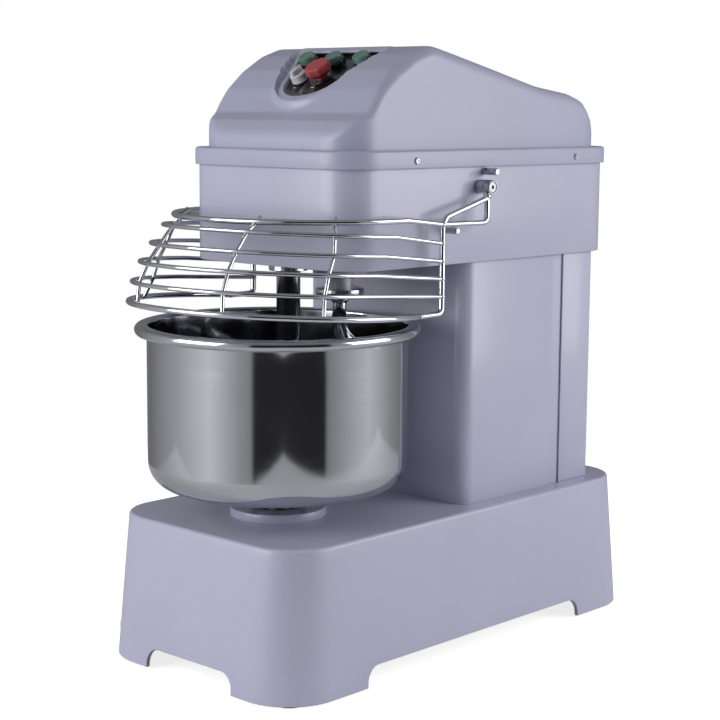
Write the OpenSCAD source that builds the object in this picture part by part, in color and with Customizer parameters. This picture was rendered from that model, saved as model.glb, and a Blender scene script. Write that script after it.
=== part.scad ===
// Spiral dough mixer: a floor-standing base, a column, an overhanging drive head,
// a turning bowl, a spiral hook with its breaker bar, and a hinged wire guard.
// Millimetres. +Z is up, the bowl and the controls face -Y, and the floor is z = 0.

/* [Base] */
// Width of the base at the floor
base_w = 390; // [370:1:470]
// Length of the base at the floor
base_len = 764; // [740:1:900]
// Height of the base's top face above the floor
base_h = 206; // [190:1:260]
// Draft of each side of the base, measured at its top
base_draft = 11; // [4:0.5:18]
// Draft of the front and back of the base, measured at its top
base_end_draft = 18; // [6:0.5:24]
// Corner radius of the base at the floor
base_corner_r = 78; // [50:1:95]
// Wall of the cast base
base_wall = 6; // [4:0.5:9]
// Height of the rubber feet below the base
foot_gap = 3; // [2:0.5:6]
// Height of the arches between the feet
arch_h = 31; // [20:1:45]
// Length of the arch in each side
arch_side_len = 468; // [380:1:480]
// Width of the arch in each end
arch_end_w = 170; // [120:1:180]

/* [Column] */
// Width of the column
column_w = 314; // [300:1:350]
// Length of the column, front to back
column_len = 300; // [280:1:320]
// Height of the column
column_h = 348; // [320:1:420]
// Distance of the column's front behind the base's middle
column_front = 2; // [0:1:15]
// Corner radius of the column
column_corner_r = 22; // [10:1:30]
// Corner radius of the rear cover
rear_corner_r = 8; // [5:1:20]
// Sheet thickness of the column
column_wall = 3; // [2:0.5:4]
// Length of the rear cover's sides
rear_cover_side = 75; // [60:1:95]
// Width of the recessed seam between column and rear cover
seam_w = 24; // [10:1:30]
// Depth of the recessed seam
seam_depth = 3; // [2:0.5:4]

/* [Head] */
// Width of the head
head_w = 327; // [320:1:365]
// Length of the head
head_len = 583; // [570:1:650]
// Distance of the head's back behind the base's middle
head_back = 343; // [335:1:360]
// Height of the head's box below the cover's lip
head_h = 133; // [120:1:180]
// Corner radius of the head
head_corner_r = 56; // [40:1:70]
// Wall of the head's box
head_wall = 3; // [2:0.5:4]
// Thickness of the head's floor plate
floor_plate_t = 8; // [6:0.5:12]
// Height of the cover's lip
lip_h = 24; // [18:1:30]
// How far the lip stands out from the head
lip_out = 5.5; // [4:0.5:8]
// Wall of the moulded top cover
cover_wall = 3.5; // [3:0.5:5]
// Height of the top cover above its lip
cover_h = 139; // [125:1:160]

/* [Bowl] */
// Outer radius of the bowl's wall
bowl_r = 180; // [165:1:220]
// Height of the bowl, rim included
bowl_h = 227; // [200:1:245]
// Sheet thickness of the bowl
bowl_wall = 2; // [1.5:0.5:3]
// Outer radius of the bowl's bottom corner
bowl_corner_r = 38; // [25:1:50]
// Diameter of the rolled rim
rim_d = 15; // [10:0.5:18]
// Gap between the bowl's rim and the column
bowl_column_gap = 17; // [12:1:30]
// Gap between the base's top and the bowl's bottom
bowl_lift = 41; // [35:1:60]

/* [Hook and breaker bar] */
// Diameter of the spiral hook's rod
hook_rod_d = 20; // [16:1:24]
// Radius of the spiral's centre line
spiral_r = 55; // [45:1:62]
// Gap between the spiral and the bowl's wall
hook_wall_gap = 16; // [10:1:25]
// Gap between the spiral or the bar and the bowl's bottom
hook_floor_gap = 12; // [8:1:20]
// Direction of the hook's axis from the bowl's axis, from +Y towards +X
hook_dir = 16.6; // [0:0.1:30]
// Radius of the hook's driving disc
disc_r = 34; // [30:1:46]
// Thickness of the driving disc
disc_t = 9; // [7:1:12]
// Gap between the head and the driving disc
disc_drop = 37; // [30:1:45]
// Diameter of the breaker bar
bar_d = 33; // [26:1:38]
// Gap between the breaker bar and the spiral
bar_gap = 3.5; // [3:0.5:8]

/* [Guard] */
// Diameter of the guard's frame wire
frame_wire_d = 8; // [7:0.5:9]
// Diameter of the guard's rings and ribs
ring_wire_d = 6; // [5:0.5:7]
// Gap between the guard and each side of the head, to the wire's centre
guard_side_gap = 21.5; // [20:0.5:26]
// How far the bottom ring lies outside the bowl's rim
guard_rim_gap = 7; // [5:0.5:15]

/* [Controls] */
// Diameter of the push buttons
button_d = 24; // [20:1:28]
// Distance between neighbouring push buttons
button_step = 52; // [44:1:54]
// Travel of the push buttons
button_travel = 4; // [2:0.5:5]
// Diameter of the stop button's head
stop_d = 38; // [32:1:42]
// Travel of the stop button
stop_travel = 5; // [3:0.5:6]
// Diameter of the selector knob
selector_d = 24; // [20:1:28]

/* [Drive] */
// Teeth of the sprocket under the bowl
bowl_teeth = 68; // [60:1:70]
// Teeth of the countershaft's lower sprocket
pinion_teeth = 9; // [9:1:12]
// Teeth of the countershaft's upper sprocket and of the spindle's
spindle_teeth = 22; // [18:1:24]
// Pitch of both chains
chain_pitch = 12.7; // [9.525, 12.7]
// Pitch radius of the countershaft's pulley
counter_pulley_r = 135; // [110:1:140]
// Pitch radius of the motor's pulley
motor_pulley_r = 31; // [28:1:36]
// Radius of the motor's housing
motor_r = 68; // [55:1:72]
// Length of the motor's housing
motor_len = 230; // [180:1:260]
// Radius of the bowl's shaft and of the spindle
shaft_r = 20; // [15:0.5:22]
// Radius of the countershaft
counter_r = 12; // [10:0.5:14]

/* [Hidden] */
$fn = 64;
fit_gap = 0.05;        // a shaft in its bearing, or a bearing in its seat
slip_gap = 0.3;        // pieces that lie beside each other
bolt_gap = 0.2;        // a screw in its hole
eps = 0.01;
bead = 0.3;            // how much fuller a wire is at a weld or a bend

// ---- places of the main pieces ----
rim_gap = 1.8;
rim_r = bowl_r + rim_gap + rim_d;
bowl_ahead = rim_r + bowl_column_gap - column_front;
guard_ring_r = rim_r + guard_rim_gap;
frame_wire_r = frame_wire_d / 2;
ring_wire_r = ring_wire_d / 2;
guard_reach = bowl_ahead + guard_ring_r + frame_wire_r;
chain_half = 4;        // half a chain's thickness
bowl_drive_r = pitch_r(bowl_teeth) + chain_half;
drive_gap = 2;         // from the bowl's chain to the base's wall
base_l = max(base_len, 2 * (bowl_ahead + bowl_drive_r + drive_gap + base_wall + base_end_draft));
mid_y = (guard_reach - base_l / 2) / 2;        // the base's middle
bowl_y = mid_y - bowl_ahead;
column_y0 = mid_y + column_front;
column_y1 = column_y0 + column_len;
head_y1 = mid_y + head_back;
head_y0 = head_y1 - head_len;
head_mid_y = (head_y0 + head_y1) / 2;
head_z = base_h + column_h;
lip_z = head_z + head_h;
cover_z = lip_z + lip_h;
plate_z = head_z + floor_plate_t;
half_head = head_w / 2;
half_column = column_w / 2;

// ---- bowl, hook and bar ----
bowl_z = base_h + bowl_lift;
bowl_floor_z = bowl_z + bowl_wall;
rim_z = bowl_z + bowl_h;
hook_r = hook_rod_d / 2;
hook_offset = bowl_r - bowl_wall - hook_wall_gap - spiral_r - hook_r;
hook_x = hook_offset * sin(hook_dir);
hook_y = bowl_y + hook_offset * cos(hook_dir);
disc_z = head_z - disc_drop - disc_t;
bar_r = bar_d / 2;
bar_dir = 12.2;
bar_offset = spiral_r + hook_r + bar_gap + bar_r;
bar_x = hook_x - bar_offset * sin(bar_dir);
bar_y = hook_y - bar_offset * cos(bar_dir);

// ---- drive ----
function pitch_r(teeth) = chain_pitch / (2 * sin(180 / teeth));
chain_w = 11;
tooth_tip = 2.5;
sprocket_t = 7;
pinion_bore = 8;
bowl_chain_z = base_h - 104;
counter_y = column_y0 + 38;
counter_top_z = lip_z + 18;
counter_bottom_z = bowl_chain_z - 14;
spindle_chain_z = lip_z - 46;
belt_z = lip_z - 8;
belt_gap = 12;
motor_y = counter_y + counter_pulley_r + motor_pulley_r + belt_gap;
motor_top_z = belt_z - 34;
pulley_t = 20;
spindle_top_z = spindle_chain_z + 16;
hub_r = 38;
ring_r = 67;
ring_t = 12;
bearing_t = 16;
bearing_wall = 15;
housing_wall = 9;

// ---- control panel: a plane that leans back ----
panel_tilt = 34;
panel_y = mid_y - 128;
panel_z = cover_z + 94;
button_r = button_d / 2;
panel_half_w = button_step + button_r + 12;
panel_half_l = 55;
panel_tip_r = 50;
panel_t = 3;
stop_r = stop_d / 2;
selector_r = selector_d / 2;
button_row = 36;
stop_place = [4, -2];
selector_place = [-33, -8];
stem_r = 8;
bezel_w = 2.5;
bezel_top = 8;
knob_shaft_r = 5;

// ---------------------------------------------------------------- shapes

// Rectangle with round corners, centred on x and y
module rounded_rect(w, l, r) {
  square([w - 2 * r, l], center = true);
  square([w, l - 2 * r], center = true);
  for (sx = [-1, 1], sy = [-1, 1])
    translate([sx * (w / 2 - r), sy * (l / 2 - r)]) circle(r);
}

// Upright block with round vertical corners
module rounded_block(w, l, h, r) {
  linear_extrude(h) rounded_rect(w, l, r);
}

// Round rod between two points
module rod(a, b, r) {
  d = b - a;
  translate(a) rotate([0, acos(d.z / norm(d)), atan2(d.y, d.x)]) cylinder(r = r, h = norm(d));
}

// Rods through a list of points, with a slightly fuller bead at the start and each bend
module wire(points, r) {
  for (i = [0 : len(points) - 2]) {
    rod(points[i], points[i + 1], r);
    translate(points[i]) sphere(r + bead);
  }
}

module tube(r_out, r_in, h) {
  difference() {
    cylinder(r = r_out, h = h);
    translate([0, 0, -1]) cylinder(r = r_in, h = h + 2);
  }
}

// The loop that a belt or chain takes round two wheels, grown by a distance
module loop_2d(p1, r1, p2, r2) {
  d = p2 - p1;
  lean = acos((r1 - r2) / norm(d));
  way = atan2(d.y, d.x);
  function touch(p, r, side) = p + r * [cos(way + side * lean), sin(way + side * lean)];
  translate(p1) circle(r1);
  translate(p2) circle(r2);
  polygon([touch(p1, r1, 1), touch(p2, r2, 1), touch(p2, r2, -1), touch(p1, r1, -1)]);
}

module loop_band(p1, r1, p2, r2, half_t, w) {
  linear_extrude(w, center = true) difference() {
    loop_2d(p1, r1 + half_t, p2, r2 + half_t);
    loop_2d(p1, r1 - half_t, p2, r2 - half_t);
  }
}

// Sprocket whose teeth stay just inside its chain
module sprocket(teeth, bore_r, boss_r, boss_h) {
  tip = pitch_r(teeth) - chain_half - slip_gap;
  root = tip - tooth_tip;
  difference() {
    union() {
      linear_extrude(sprocket_t, center = true)
        polygon([for (i = [0 : teeth - 1], s = [0 : 3])
          let (a = 360 * (i + [0, 0.3, 0.5, 0.8][s]) / teeth, r = s < 2 ? root : tip)
          r * [cos(a), sin(a)]]);
      if (boss_h > 0) translate([0, 0, sprocket_t / 2 - eps]) cylinder(r = boss_r, h = boss_h);
    }
    translate([0, 0, -sprocket_t]) cylinder(r = bore_r + fit_gap, h = 4 * sprocket_t + boss_h);
    if (root > 3 * boss_r)
      for (a = [0 : 60 : 300]) rotate(a) translate([(root + boss_r) / 2, 0, -sprocket_t])
        cylinder(r = (root - boss_r) / 3.4, h = 2 * sprocket_t);
  }
}

// Pulley with one V groove
module v_pulley(r, bore_r) {
  groove = 9;
  difference() {
    translate([0, 0, -pulley_t / 2]) cylinder(r = r + 4, h = pulley_t);
    rotate_extrude() polygon([[r + 5, -9], [r - groove, -5], [r - groove, 5], [r + 5, 9]]);
    translate([0, 0, -pulley_t]) cylinder(r = bore_r + fit_gap, h = 2 * pulley_t);
    if (r > 80)
      for (a = [0 : 72 : 288]) rotate(a) translate([r * 0.52, 0, -pulley_t])
        cylinder(r = r * 0.22, h = 2 * pulley_t);
  }
}

// V belt round both pulleys, clear of their grooves
module v_belt_section(p1, r1, p2, r2) {
  loop_band(p1, r1, p2, r2, 3.5, 9);
}

// Bolt with a hexagon head at z = 0 and its shank going down
module hex_bolt(r, length, head_h) {
  cylinder(r = 1.8 * r, h = head_h, $fn = 6);
  translate([0, 0, -length]) cylinder(r = r, h = length + eps);
}

// Screw with a low round head at z = 0, its cross slot, and its shank going down
module round_screw(head_r, head_h, r, length) {
  difference() {
    cylinder(r1 = head_r, r2 = head_r * 0.7, h = head_h);
    for (a = [0, 90]) rotate(a) translate([-head_r * 0.5, -0.5, head_h * 0.5])
      cube([head_r, 1, head_h]);
  }
  translate([0, 0, -length]) cylinder(r = r, h = length + eps);
}

// Puts its children on the panel's plane: x across, y up the slope, z out of it
module on_panel(x, y, z) {
  translate([0, panel_y, panel_z]) rotate([panel_tilt, 0, 0]) translate([x, y, z]) children();
}

// Shield outline of the panel's pocket, wide at the top and round at the bottom
module panel_outline(grow) {
  tip_y = -panel_half_l + panel_tip_r;
  side = [panel_half_w, panel_half_l] - [0, tip_y];
  lean = acos(panel_tip_r / norm(side));
  start = atan2(side.y, side.x) - lean;
  r = panel_tip_r + grow;
  polygon(concat(
    [[-panel_half_w - grow, panel_half_l + grow], [panel_half_w + grow, panel_half_l + grow]],
    [for (i = [0 : 24]) let (a = start - i * (180 + 2 * start) / 24)
      [r * cos(a), tip_y + r * sin(a)]]));
}

// ---------------------------------------------------------------- base

foot_x = base_w / 2 - base_corner_r + 36;
foot_y = base_l / 2 - base_corner_r + 36;
foot_r = 21;
foot_seat = 5;
foot_t = foot_gap + foot_seat - slip_gap;
foot_head_h = 5;

module at_feet() {
  for (sx = [-1, 1], sy = [-1, 1]) translate([sx * foot_x, mid_y + sy * foot_y, 0]) children();
}

module base_form(inset, z0, z1) {
  hull() {
    translate([0, mid_y, z0])
      rounded_block(base_w - 2 * inset, base_l - 2 * inset, 1, base_corner_r - inset);
    translate([0, mid_y, z1 - 1])
      rounded_block(base_w - 2 * base_draft - 2 * inset, base_l - 2 * base_end_draft
        - 2 * inset, 1, base_corner_r - 8 - inset);
  }
}

// Opening between two feet, with rounded shoulders
module arch(w, length) {
  r = arch_h * 0.7;
  linear_extrude(length, center = true) {
    translate([-w / 2, -1]) square([w, arch_h - r + 1]);
    translate([-w / 2 + r, -1]) square([w - 2 * r, arch_h + 1]);
    for (s = [-1, 1]) translate([s * (w / 2 - r), arch_h - r]) circle(r);
  }
}

column_bolt_x = half_column - column_wall - 13;
column_bolt_y = [40, 130];
module at_column_bolts() {
  for (sx = [-1, 1], y = column_bolt_y) translate([sx * column_bolt_x, column_y0 + y, 0])
    children();
}

module base_shell() {
  color([0.69, 0.69, 0.79]) difference() {
    union() {
      difference() {
        base_form(0, foot_gap, base_h);
        base_form(base_wall, foot_gap - 2, base_h - base_wall);
      }
      at_feet() translate([0, 0, foot_gap]) cylinder(r = 25, h = 42);
    }
    translate([0, mid_y, 0]) rotate([90, 0, 0]) arch(arch_end_w, base_l + 10);
    translate([0, mid_y, 0]) rotate([90, 0, 90]) arch(arch_side_len, base_w + 10);
    at_feet() {
      translate([0, 0, foot_gap - 1]) cylinder(r = foot_r + slip_gap, h = foot_seat + 1);
      cylinder(r = 5 + bolt_gap, h = 60);
    }
    translate([0, bowl_y, base_h - 20]) cylinder(r = hub_barrel_r + fit_gap, h = 40);
    translate([0, counter_y, base_h - 20]) cylinder(r = counter_r + 8, h = 40);
    at_column_bolts() translate([0, 0, base_h - 20]) cylinder(r = 5 + bolt_gap, h = 40);
  }
}

module rubber_feet() {
  color([0.08, 0.08, 0.09]) at_feet() difference() {
    cylinder(r = foot_r, h = foot_t);
    translate([0, 0, -1]) cylinder(r = 10, h = foot_head_h + 2);
    translate([0, 0, -1]) cylinder(r = 5 + bolt_gap, h = foot_t + 2);
  }
}

module foot_bolts() {
  color([0.7, 0.7, 0.72]) at_feet()
    translate([0, 0, foot_head_h + 1]) rotate([180, 0, 0]) hex_bolt(5, 34, foot_head_h - 1);
}

// ---------------------------------------------------------------- column

flange_w = 28;
flange_t = 5;
seam_y0 = column_y1 - rear_cover_side - seam_w;
seam_y1 = column_y1 - rear_cover_side;
lap = 14;

module column_block(inset, z0, z1, back) {
  translate([0, (column_y0 + column_y1) / 2, z0]) intersection() {
    rounded_block(column_w - 2 * inset, column_len - 2 * inset, z1 - z0,
      column_corner_r - inset);
    translate([-column_w, -column_len, -1])
      cube([2 * column_w, column_len + back - (column_y0 + column_y1) / 2, z1 - z0 + 2]);
  }
}

module column_shell() {
  color([0.69, 0.69, 0.79]) difference() {
    union() {
      column_block(0, base_h, head_z, seam_y0);
      column_block(seam_depth, base_h, head_z, seam_y1 + lap);
    }
    column_block(seam_depth + column_wall, base_h + flange_t, head_z - flange_t, column_y1);
    translate([-half_column + flange_w, column_y0 + flange_w + 45, base_h - 1])
      cube([column_w - 2 * flange_w, column_len, column_h + 2]);
    at_column_bolts() translate([0, 0, base_h - 1]) cylinder(r = 5 + bolt_gap, h = 20);
    at_head_bolts() translate([0, 0, head_z - 20]) cylinder(r = 5 + bolt_gap, h = 30);
    translate([0, counter_y, base_h - 1]) cylinder(r = counter_housing_r + 2, h = column_h + 2);
  }
}

module column_bolts() {
  color([0.7, 0.7, 0.72]) at_column_bolts() translate([0, 0, base_h + flange_t])
    hex_bolt(5, 24, 6);
}

post_w = 30;
post_x = half_column - column_corner_r - post_w;      // clear of the round corner
post_y = column_y1 - column_wall - slip_gap;
rear_screw_z = [base_h + 35, (base_h + head_z) / 2, head_z - 35];

module column_posts() {
  color([0.45, 0.46, 0.5]) for (s = [-1, 1]) difference() {
    translate([s > 0 ? post_x : -post_x - post_w, post_y - post_w, base_h])
      cube([post_w, post_w, column_h]);
    translate([s > 0 ? post_x - 4 : -post_x - post_w + 4, post_y - post_w - 4, base_h - 1])
      cube([post_w, post_w, column_h + 2]);
    for (z = rear_screw_z) translate([s * (post_x + 8), post_y - 20, z]) rotate([-90, 0, 0])
      cylinder(r = 2.5 + bolt_gap, h = 40);
  }
}

vent_w = 100;
vent_h = 5;
vent_pitch = 14;
vent_z = base_h + 130;
vent_count = 6;

module rear_block(inset, z0, z1) {
  translate([0, (column_y0 + column_y1) / 2, z0])
    rounded_block(column_w - 2 * inset, column_len - 2 * inset, z1 - z0, rear_corner_r - inset);
}

module rear_cover() {
  color([0.69, 0.69, 0.79]) difference() {
    rear_block(0, base_h + slip_gap, head_z - slip_gap);
    rear_block(column_wall - slip_gap, base_h - 1, head_z + 1);
    translate([-column_w, column_y0 - 10, base_h - 1])
      cube([2 * column_w, seam_y1 - column_y0 + 10, column_h + 2]);
    for (s = [-1, 1], z = rear_screw_z) translate([s * (post_x + 8), column_y1 - 10, z])
      rotate([-90, 0, 0]) cylinder(r = 2.5 + bolt_gap, h = 20);
    translate([0, column_y1 - 10, gland_z]) rotate([-90, 0, 0])
      cylinder(r = gland_r + bolt_gap, h = 20);
    for (i = [0 : vent_count - 1])
      translate([-vent_w / 2, column_y1 - 10, vent_z + vent_pitch * i]) cube([vent_w, 20, vent_h]);
  }
}

module rear_cover_screws() {
  color([0.75, 0.75, 0.77]) for (s = [-1, 1], z = rear_screw_z)
    translate([s * (post_x + 8), column_y1, z]) rotate([-90, 0, 0])
      round_screw(5, 2.5, 2.5, 14);
}

gland_r = 9;
gland_z = base_h + 60;

module cable_gland() {
  color([0.1, 0.1, 0.11]) translate([0, column_y1, gland_z]) rotate([-90, 0, 0]) difference() {
    union() {
      cylinder(r = 14, h = 7, $fn = 6);
      translate([0, 0, 7 - eps]) cylinder(r1 = 12, r2 = 9, h = 13);
      translate([0, 0, -20]) cylinder(r = gland_r, h = 20 + eps);
    }
    translate([0, 0, -21]) cylinder(r = 4.5, h = 60);
  }
}

// ---------------------------------------------------------------- head

module head_form(inset, z0, z1) {
  translate([0, head_mid_y, z0])
    rounded_block(head_w - 2 * inset, head_len - 2 * inset, z1 - z0, head_corner_r - inset);
}

lip_lap = 6;
head_top_z = cover_z - lip_lap;
cover_screw_y = [mid_y - 120, mid_y + 235];
cover_screw_z = lip_z + 10;

module at_cover_screws() {
  for (s = [-1, 1], y = cover_screw_y)
    translate([s * (half_head + lip_out), y, cover_screw_z]) rotate([0, s * 90, 0]) children();
}

module head_shell() {
  color([0.69, 0.69, 0.79]) difference() {
    head_form(0, head_z, head_top_z);
    head_form(head_wall, head_z - 1, head_top_z + 1);
    at_cover_screws() translate([0, 0, -25]) cylinder(r = 2.5 + bolt_gap, h = 40);
    at_pivots() translate([0, 0, -10]) cylinder(r = pivot_bolt_r + bolt_gap, h = 20);
    at_stop_pins() translate([0, 0, -10]) cylinder(r = stop_pin_r + bolt_gap, h = 20);
    at_rest_pins() translate([0, 0, -10]) cylinder(r = rest_pin_r + bolt_gap, h = 20);
  }
}

head_bolt_y = [column_y0 + 95, column_y0 + 200];
head_bolt_x = half_column - column_wall - seam_depth - 12;
module at_head_bolts() {
  for (s = [-1, 1], y = head_bolt_y) translate([s * head_bolt_x, y, 0]) children();
}

module head_floor_plate() {
  color([0.5, 0.51, 0.55]) difference() {
    head_form(head_wall + slip_gap, head_z, plate_z);
    translate([hook_x, hook_y, head_z - 1])
      cylinder(r = spindle_housing_r + bolt_gap, h = floor_plate_t + 2);
    translate([bar_x, bar_y, head_z - 1]) cylinder(r = 8 + bolt_gap, h = floor_plate_t + 2);
    translate([0, counter_y, head_z - 1])
      cylinder(r = counter_housing_r + bolt_gap, h = floor_plate_t + 2);
    translate([0, motor_y, head_z - 1]) cylinder(r = motor_r + 4, h = floor_plate_t + 2);
    at_head_bolts() translate([0, 0, head_z - 1]) cylinder(r = 5 + bolt_gap, h = floor_plate_t + 2);
    at_bracket_legs() translate([0, 0, head_z - 1])
      cylinder(r = 4 + bolt_gap, h = floor_plate_t + 2);
  }
}

module head_bolts() {
  color([0.7, 0.7, 0.72]) at_head_bolts() translate([0, 0, plate_z]) hex_bolt(5, 20, 6);
}

cover_half_w = half_head + lip_out - 15;
cover_edge_r = 18;
cover_front_gap = 10;
cover_back_gap = 11;

// The cover's ridge line as [y, height]: a stepped nose, a crest, and a long slope to the back
function cover_line(inset) =
  let (top = cover_h - inset, front = head_y0 + cover_front_gap + inset,
    back = head_y1 - cover_back_gap - inset)
  [[front, 18], [front + 18, 38 - inset], [front + 44, 57 - inset], [front + 60, 79 - inset],
    [front + 86, 101 - inset], [front + 119, 119 - inset], [mid_y - 72, top], [mid_y - 60, top],
    [mid_y - 9, top - 11], [mid_y + 64, top - 27], [mid_y + 187, top - 51], [mid_y + 248, top - 60],
    [back - 54, top - 70], [back - 35, top - 83], [back - 20, top - 98], [back - 8, top - 115],
    [back, 20 - inset]];

// Right half of the cover's cross-section, from the bottom to the round upper edge
function cover_half(y, h, inset) =
  let (r = cover_edge_r - inset, w = cover_half_w - inset)
  concat([[w, y, -1]], [for (a = [0 : 18 : 90]) [w - r + r * cos(a), y, h - r + r * sin(a)]]);

function mirrored(points) = [for (i = [len(points) - 1 : -1 : 0]) [-points[i].x, points[i].y, points[i].z]];

// Cross-sections joined along the ridge line, cut to the cover's round-cornered plan
module cover_body(inset) {
  line = cover_line(inset);
  rings = [for (p = line) let (half = cover_half(p.x, p.y, inset)) concat(half, mirrored(half))];
  n = len(rings[0]);
  last = (len(rings) - 1) * n;
  sides = [for (k = [0 : len(rings) - 2], i = [0 : n - 1])
    [k * n + i, k * n + (i + 1) % n, (k + 1) * n + (i + 1) % n, (k + 1) * n + i]];
  ends = [[for (i = [n - 1 : -1 : 0]) i], [for (i = [0 : n - 1]) last + i]];
  translate([0, 0, cover_z]) intersection() {
    polyhedron([for (ring = rings, p = ring) p], concat(sides, ends));
    translate([0, head_mid_y, -1]) rounded_block(2 * (cover_half_w - inset),
      head_len - 2 * cover_front_gap - 2 * inset, cover_h + 2, head_corner_r - inset);
  }
}

pocket_wall = 3;

module top_cover() {
  color([0.7, 0.7, 0.8]) difference() {
    union() {
      difference() {
        union() {
          head_form(-lip_out, lip_z, cover_z);
          cover_body(0);
        }
        head_form(-slip_gap, lip_z - 1, head_top_z + slip_gap);
        head_form(15, head_top_z, cover_z - 1 + eps);
        cover_body(cover_wall);
      }
      intersection() {
        cover_body(0);
        on_panel(0, 0, -panel_t) linear_extrude(60) panel_outline(pocket_wall);
      }
    }
    on_panel(0, 0, slip_gap) linear_extrude(80) panel_outline(0);
    on_panel(0, 0, -panel_t - 1) linear_extrude(10) panel_outline(-5);
    at_cover_screws() translate([0, 0, -25]) cylinder(r = 2.5 + bolt_gap, h = 40);
  }
}

module cover_screws() {
  color([0.8, 0.8, 0.82]) at_cover_screws() round_screw(5, 2.5, 2.5, 14);
}

module at_buttons() {
  for (i = [-1 : 1]) translate([i * button_step, button_row, 0]) children();
}

module control_panel() {
  color([0.03, 0.03, 0.035]) on_panel(0, 0, 0) difference() {
    union() {
      translate([0, 0, slip_gap]) linear_extrude(panel_t - slip_gap) panel_outline(-slip_gap);
      translate([0, 0, slip_gap]) {
        at_buttons() cylinder(r = button_r + bezel_w, h = bezel_top - slip_gap);
        translate(stop_place) cylinder(r = stem_r + bezel_w + 2, h = panel_t + 1 - slip_gap);
      }
    }
    at_buttons() {
      translate([0, 0, panel_t]) cylinder(r = button_r + slip_gap, h = 20);
      translate([0, 0, -5]) cylinder(r = stem_r + slip_gap, h = 20);
    }
    translate([stop_place.x, stop_place.y, -5]) cylinder(r = stem_r + slip_gap, h = 20);
    translate([selector_place.x, selector_place.y, -5]) cylinder(r = knob_shaft_r + slip_gap, h = 20);
  }
}

block_w = 26;
block_h = 34;
block_drop = 16;

module switch_blocks() {
  color([0.25, 0.26, 0.28]) {
    on_panel(0, 0, -block_drop - block_h) at_buttons()
      translate([-block_w / 2, -block_w / 2, 0]) cube([block_w, block_w, block_h]);
    for (p = [stop_place, selector_place]) on_panel(p.x, p.y, -block_drop - block_h)
      translate([-block_w / 2, -block_w / 2, 0]) cube([block_w, block_w, block_h]);
  }
}

module control_box() {
  size = [75, 110, 85];
  color([0.35, 0.36, 0.38]) translate([-half_head + 18, head_y0 + 50, plate_z]) difference() {
    cube(size);
    translate([3, 3, 3]) cube(size - [6, 6, 6]);
  }
}

// ---------------------------------------------------------------- hub and housings

hub_barrel_r = shaft_r + bearing_wall + housing_wall;
hub_depth = 84;

module hub_housing() {
  color([0.66, 0.66, 0.74]) translate([0, bowl_y, 0]) difference() {
    union() {
      translate([0, 0, base_h]) cylinder(r = ring_r, h = ring_t);
      translate([0, 0, base_h - hub_depth]) cylinder(r = hub_barrel_r, h = hub_depth + eps);
    }
    translate([0, 0, base_h - hub_depth - 1])
      cylinder(r = shaft_r + bearing_wall + fit_gap, h = hub_depth + ring_t + 2);
  }
}

module hub_bearings() {
  color([0.6, 0.6, 0.62]) translate([0, bowl_y, 0])
    for (z = [base_h - hub_depth + 2, base_h - 8])
      translate([0, 0, z]) tube(shaft_r + bearing_wall, shaft_r, bearing_t);
}

spindle_housing_r = shaft_r + bearing_wall + housing_wall - 6;
spindle_housing_h = 34;
spindle_drop = 20;

module spindle_housing() {
  color([0.66, 0.66, 0.76]) translate([hook_x, hook_y, 0]) difference() {
    union() {
      translate([0, 0, head_z - spindle_drop])
        cylinder(r = spindle_housing_r, h = spindle_drop + floor_plate_t + spindle_housing_h);
      translate([0, 0, plate_z]) cylinder(r = spindle_housing_r + 16, h = 10);
    }
    translate([0, 0, head_z - spindle_drop - 1])
      cylinder(r = shaft_r + bearing_wall - 6 + fit_gap, h = 100);
  }
}

module spindle_bearings() {
  color([0.6, 0.6, 0.62]) translate([hook_x, hook_y, 0])
    for (z = [head_z - spindle_drop + 2, plate_z + spindle_housing_h - bearing_t - 2])
      translate([0, 0, z]) tube(shaft_r + bearing_wall - 6, shaft_r, bearing_t);
}

counter_housing_r = counter_r + 16;
counter_housing_h = 26;

module counter_housings() {
  color([0.5, 0.51, 0.55]) translate([0, counter_y, 0]) for (z = [base_h, plate_z])
    translate([0, 0, z]) difference() {
      union() {
        cylinder(r = counter_housing_r, h = counter_housing_h);
        if (z > base_h) cylinder(r = counter_housing_r + 4, h = 8);
        if (z > base_h) translate([0, 0, -floor_plate_t]) cylinder(r = counter_housing_r, h = 20);
      }
      translate([0, 0, -50]) cylinder(r = counter_r + 9 + fit_gap, h = 100);
    }
}

module counter_bearings() {
  color([0.6, 0.6, 0.62]) translate([0, counter_y, 0]) for (z = [base_h, plate_z])
    translate([0, 0, z + 6]) tube(counter_r + 9, counter_r, 14);
}

// ---------------------------------------------------------------- drive

bracket_t = 8;
bracket_half = motor_r + 14;

module at_bracket_legs() {
  for (sx = [-1, 1], sy = [-1, 1])
    translate([sx * (bracket_half - 8), motor_y + sy * (bracket_half - 8), 0]) children();
}

module motor_housing() {
  color([0.3, 0.36, 0.42]) translate([0, motor_y, 0]) difference() {
    union() {
      translate([0, 0, motor_top_z - motor_len]) cylinder(r = motor_r - 6, h = motor_len);
      for (a = [0 : 15 : 345]) rotate(a) translate([motor_r - 8, -1.5, motor_top_z - motor_len
        + 25]) cube([8, 3, motor_len - 50]);
      translate([0, 0, motor_top_z - 12]) cylinder(r = motor_r, h = 12);
    }
    translate([0, 0, motor_top_z - motor_len + 12]) cylinder(r = 40, h = motor_len - 24);
    translate([0, 0, motor_top_z - motor_len + 4])
      cylinder(r = counter_r + fit_gap, h = motor_len);
  }
}

module motor_bracket() {
  color([0.5, 0.51, 0.55]) difference() {
    union() {
      translate([-bracket_half, motor_y - bracket_half, motor_top_z])
        cube([2 * bracket_half, 2 * bracket_half, bracket_t]);
      at_bracket_legs() translate([0, 0, plate_z])
        cylinder(r = 7, h = motor_top_z - plate_z + eps);
    }
    translate([0, motor_y, motor_top_z - 1]) cylinder(r = 30, h = bracket_t + 2);
  }
}

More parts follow.
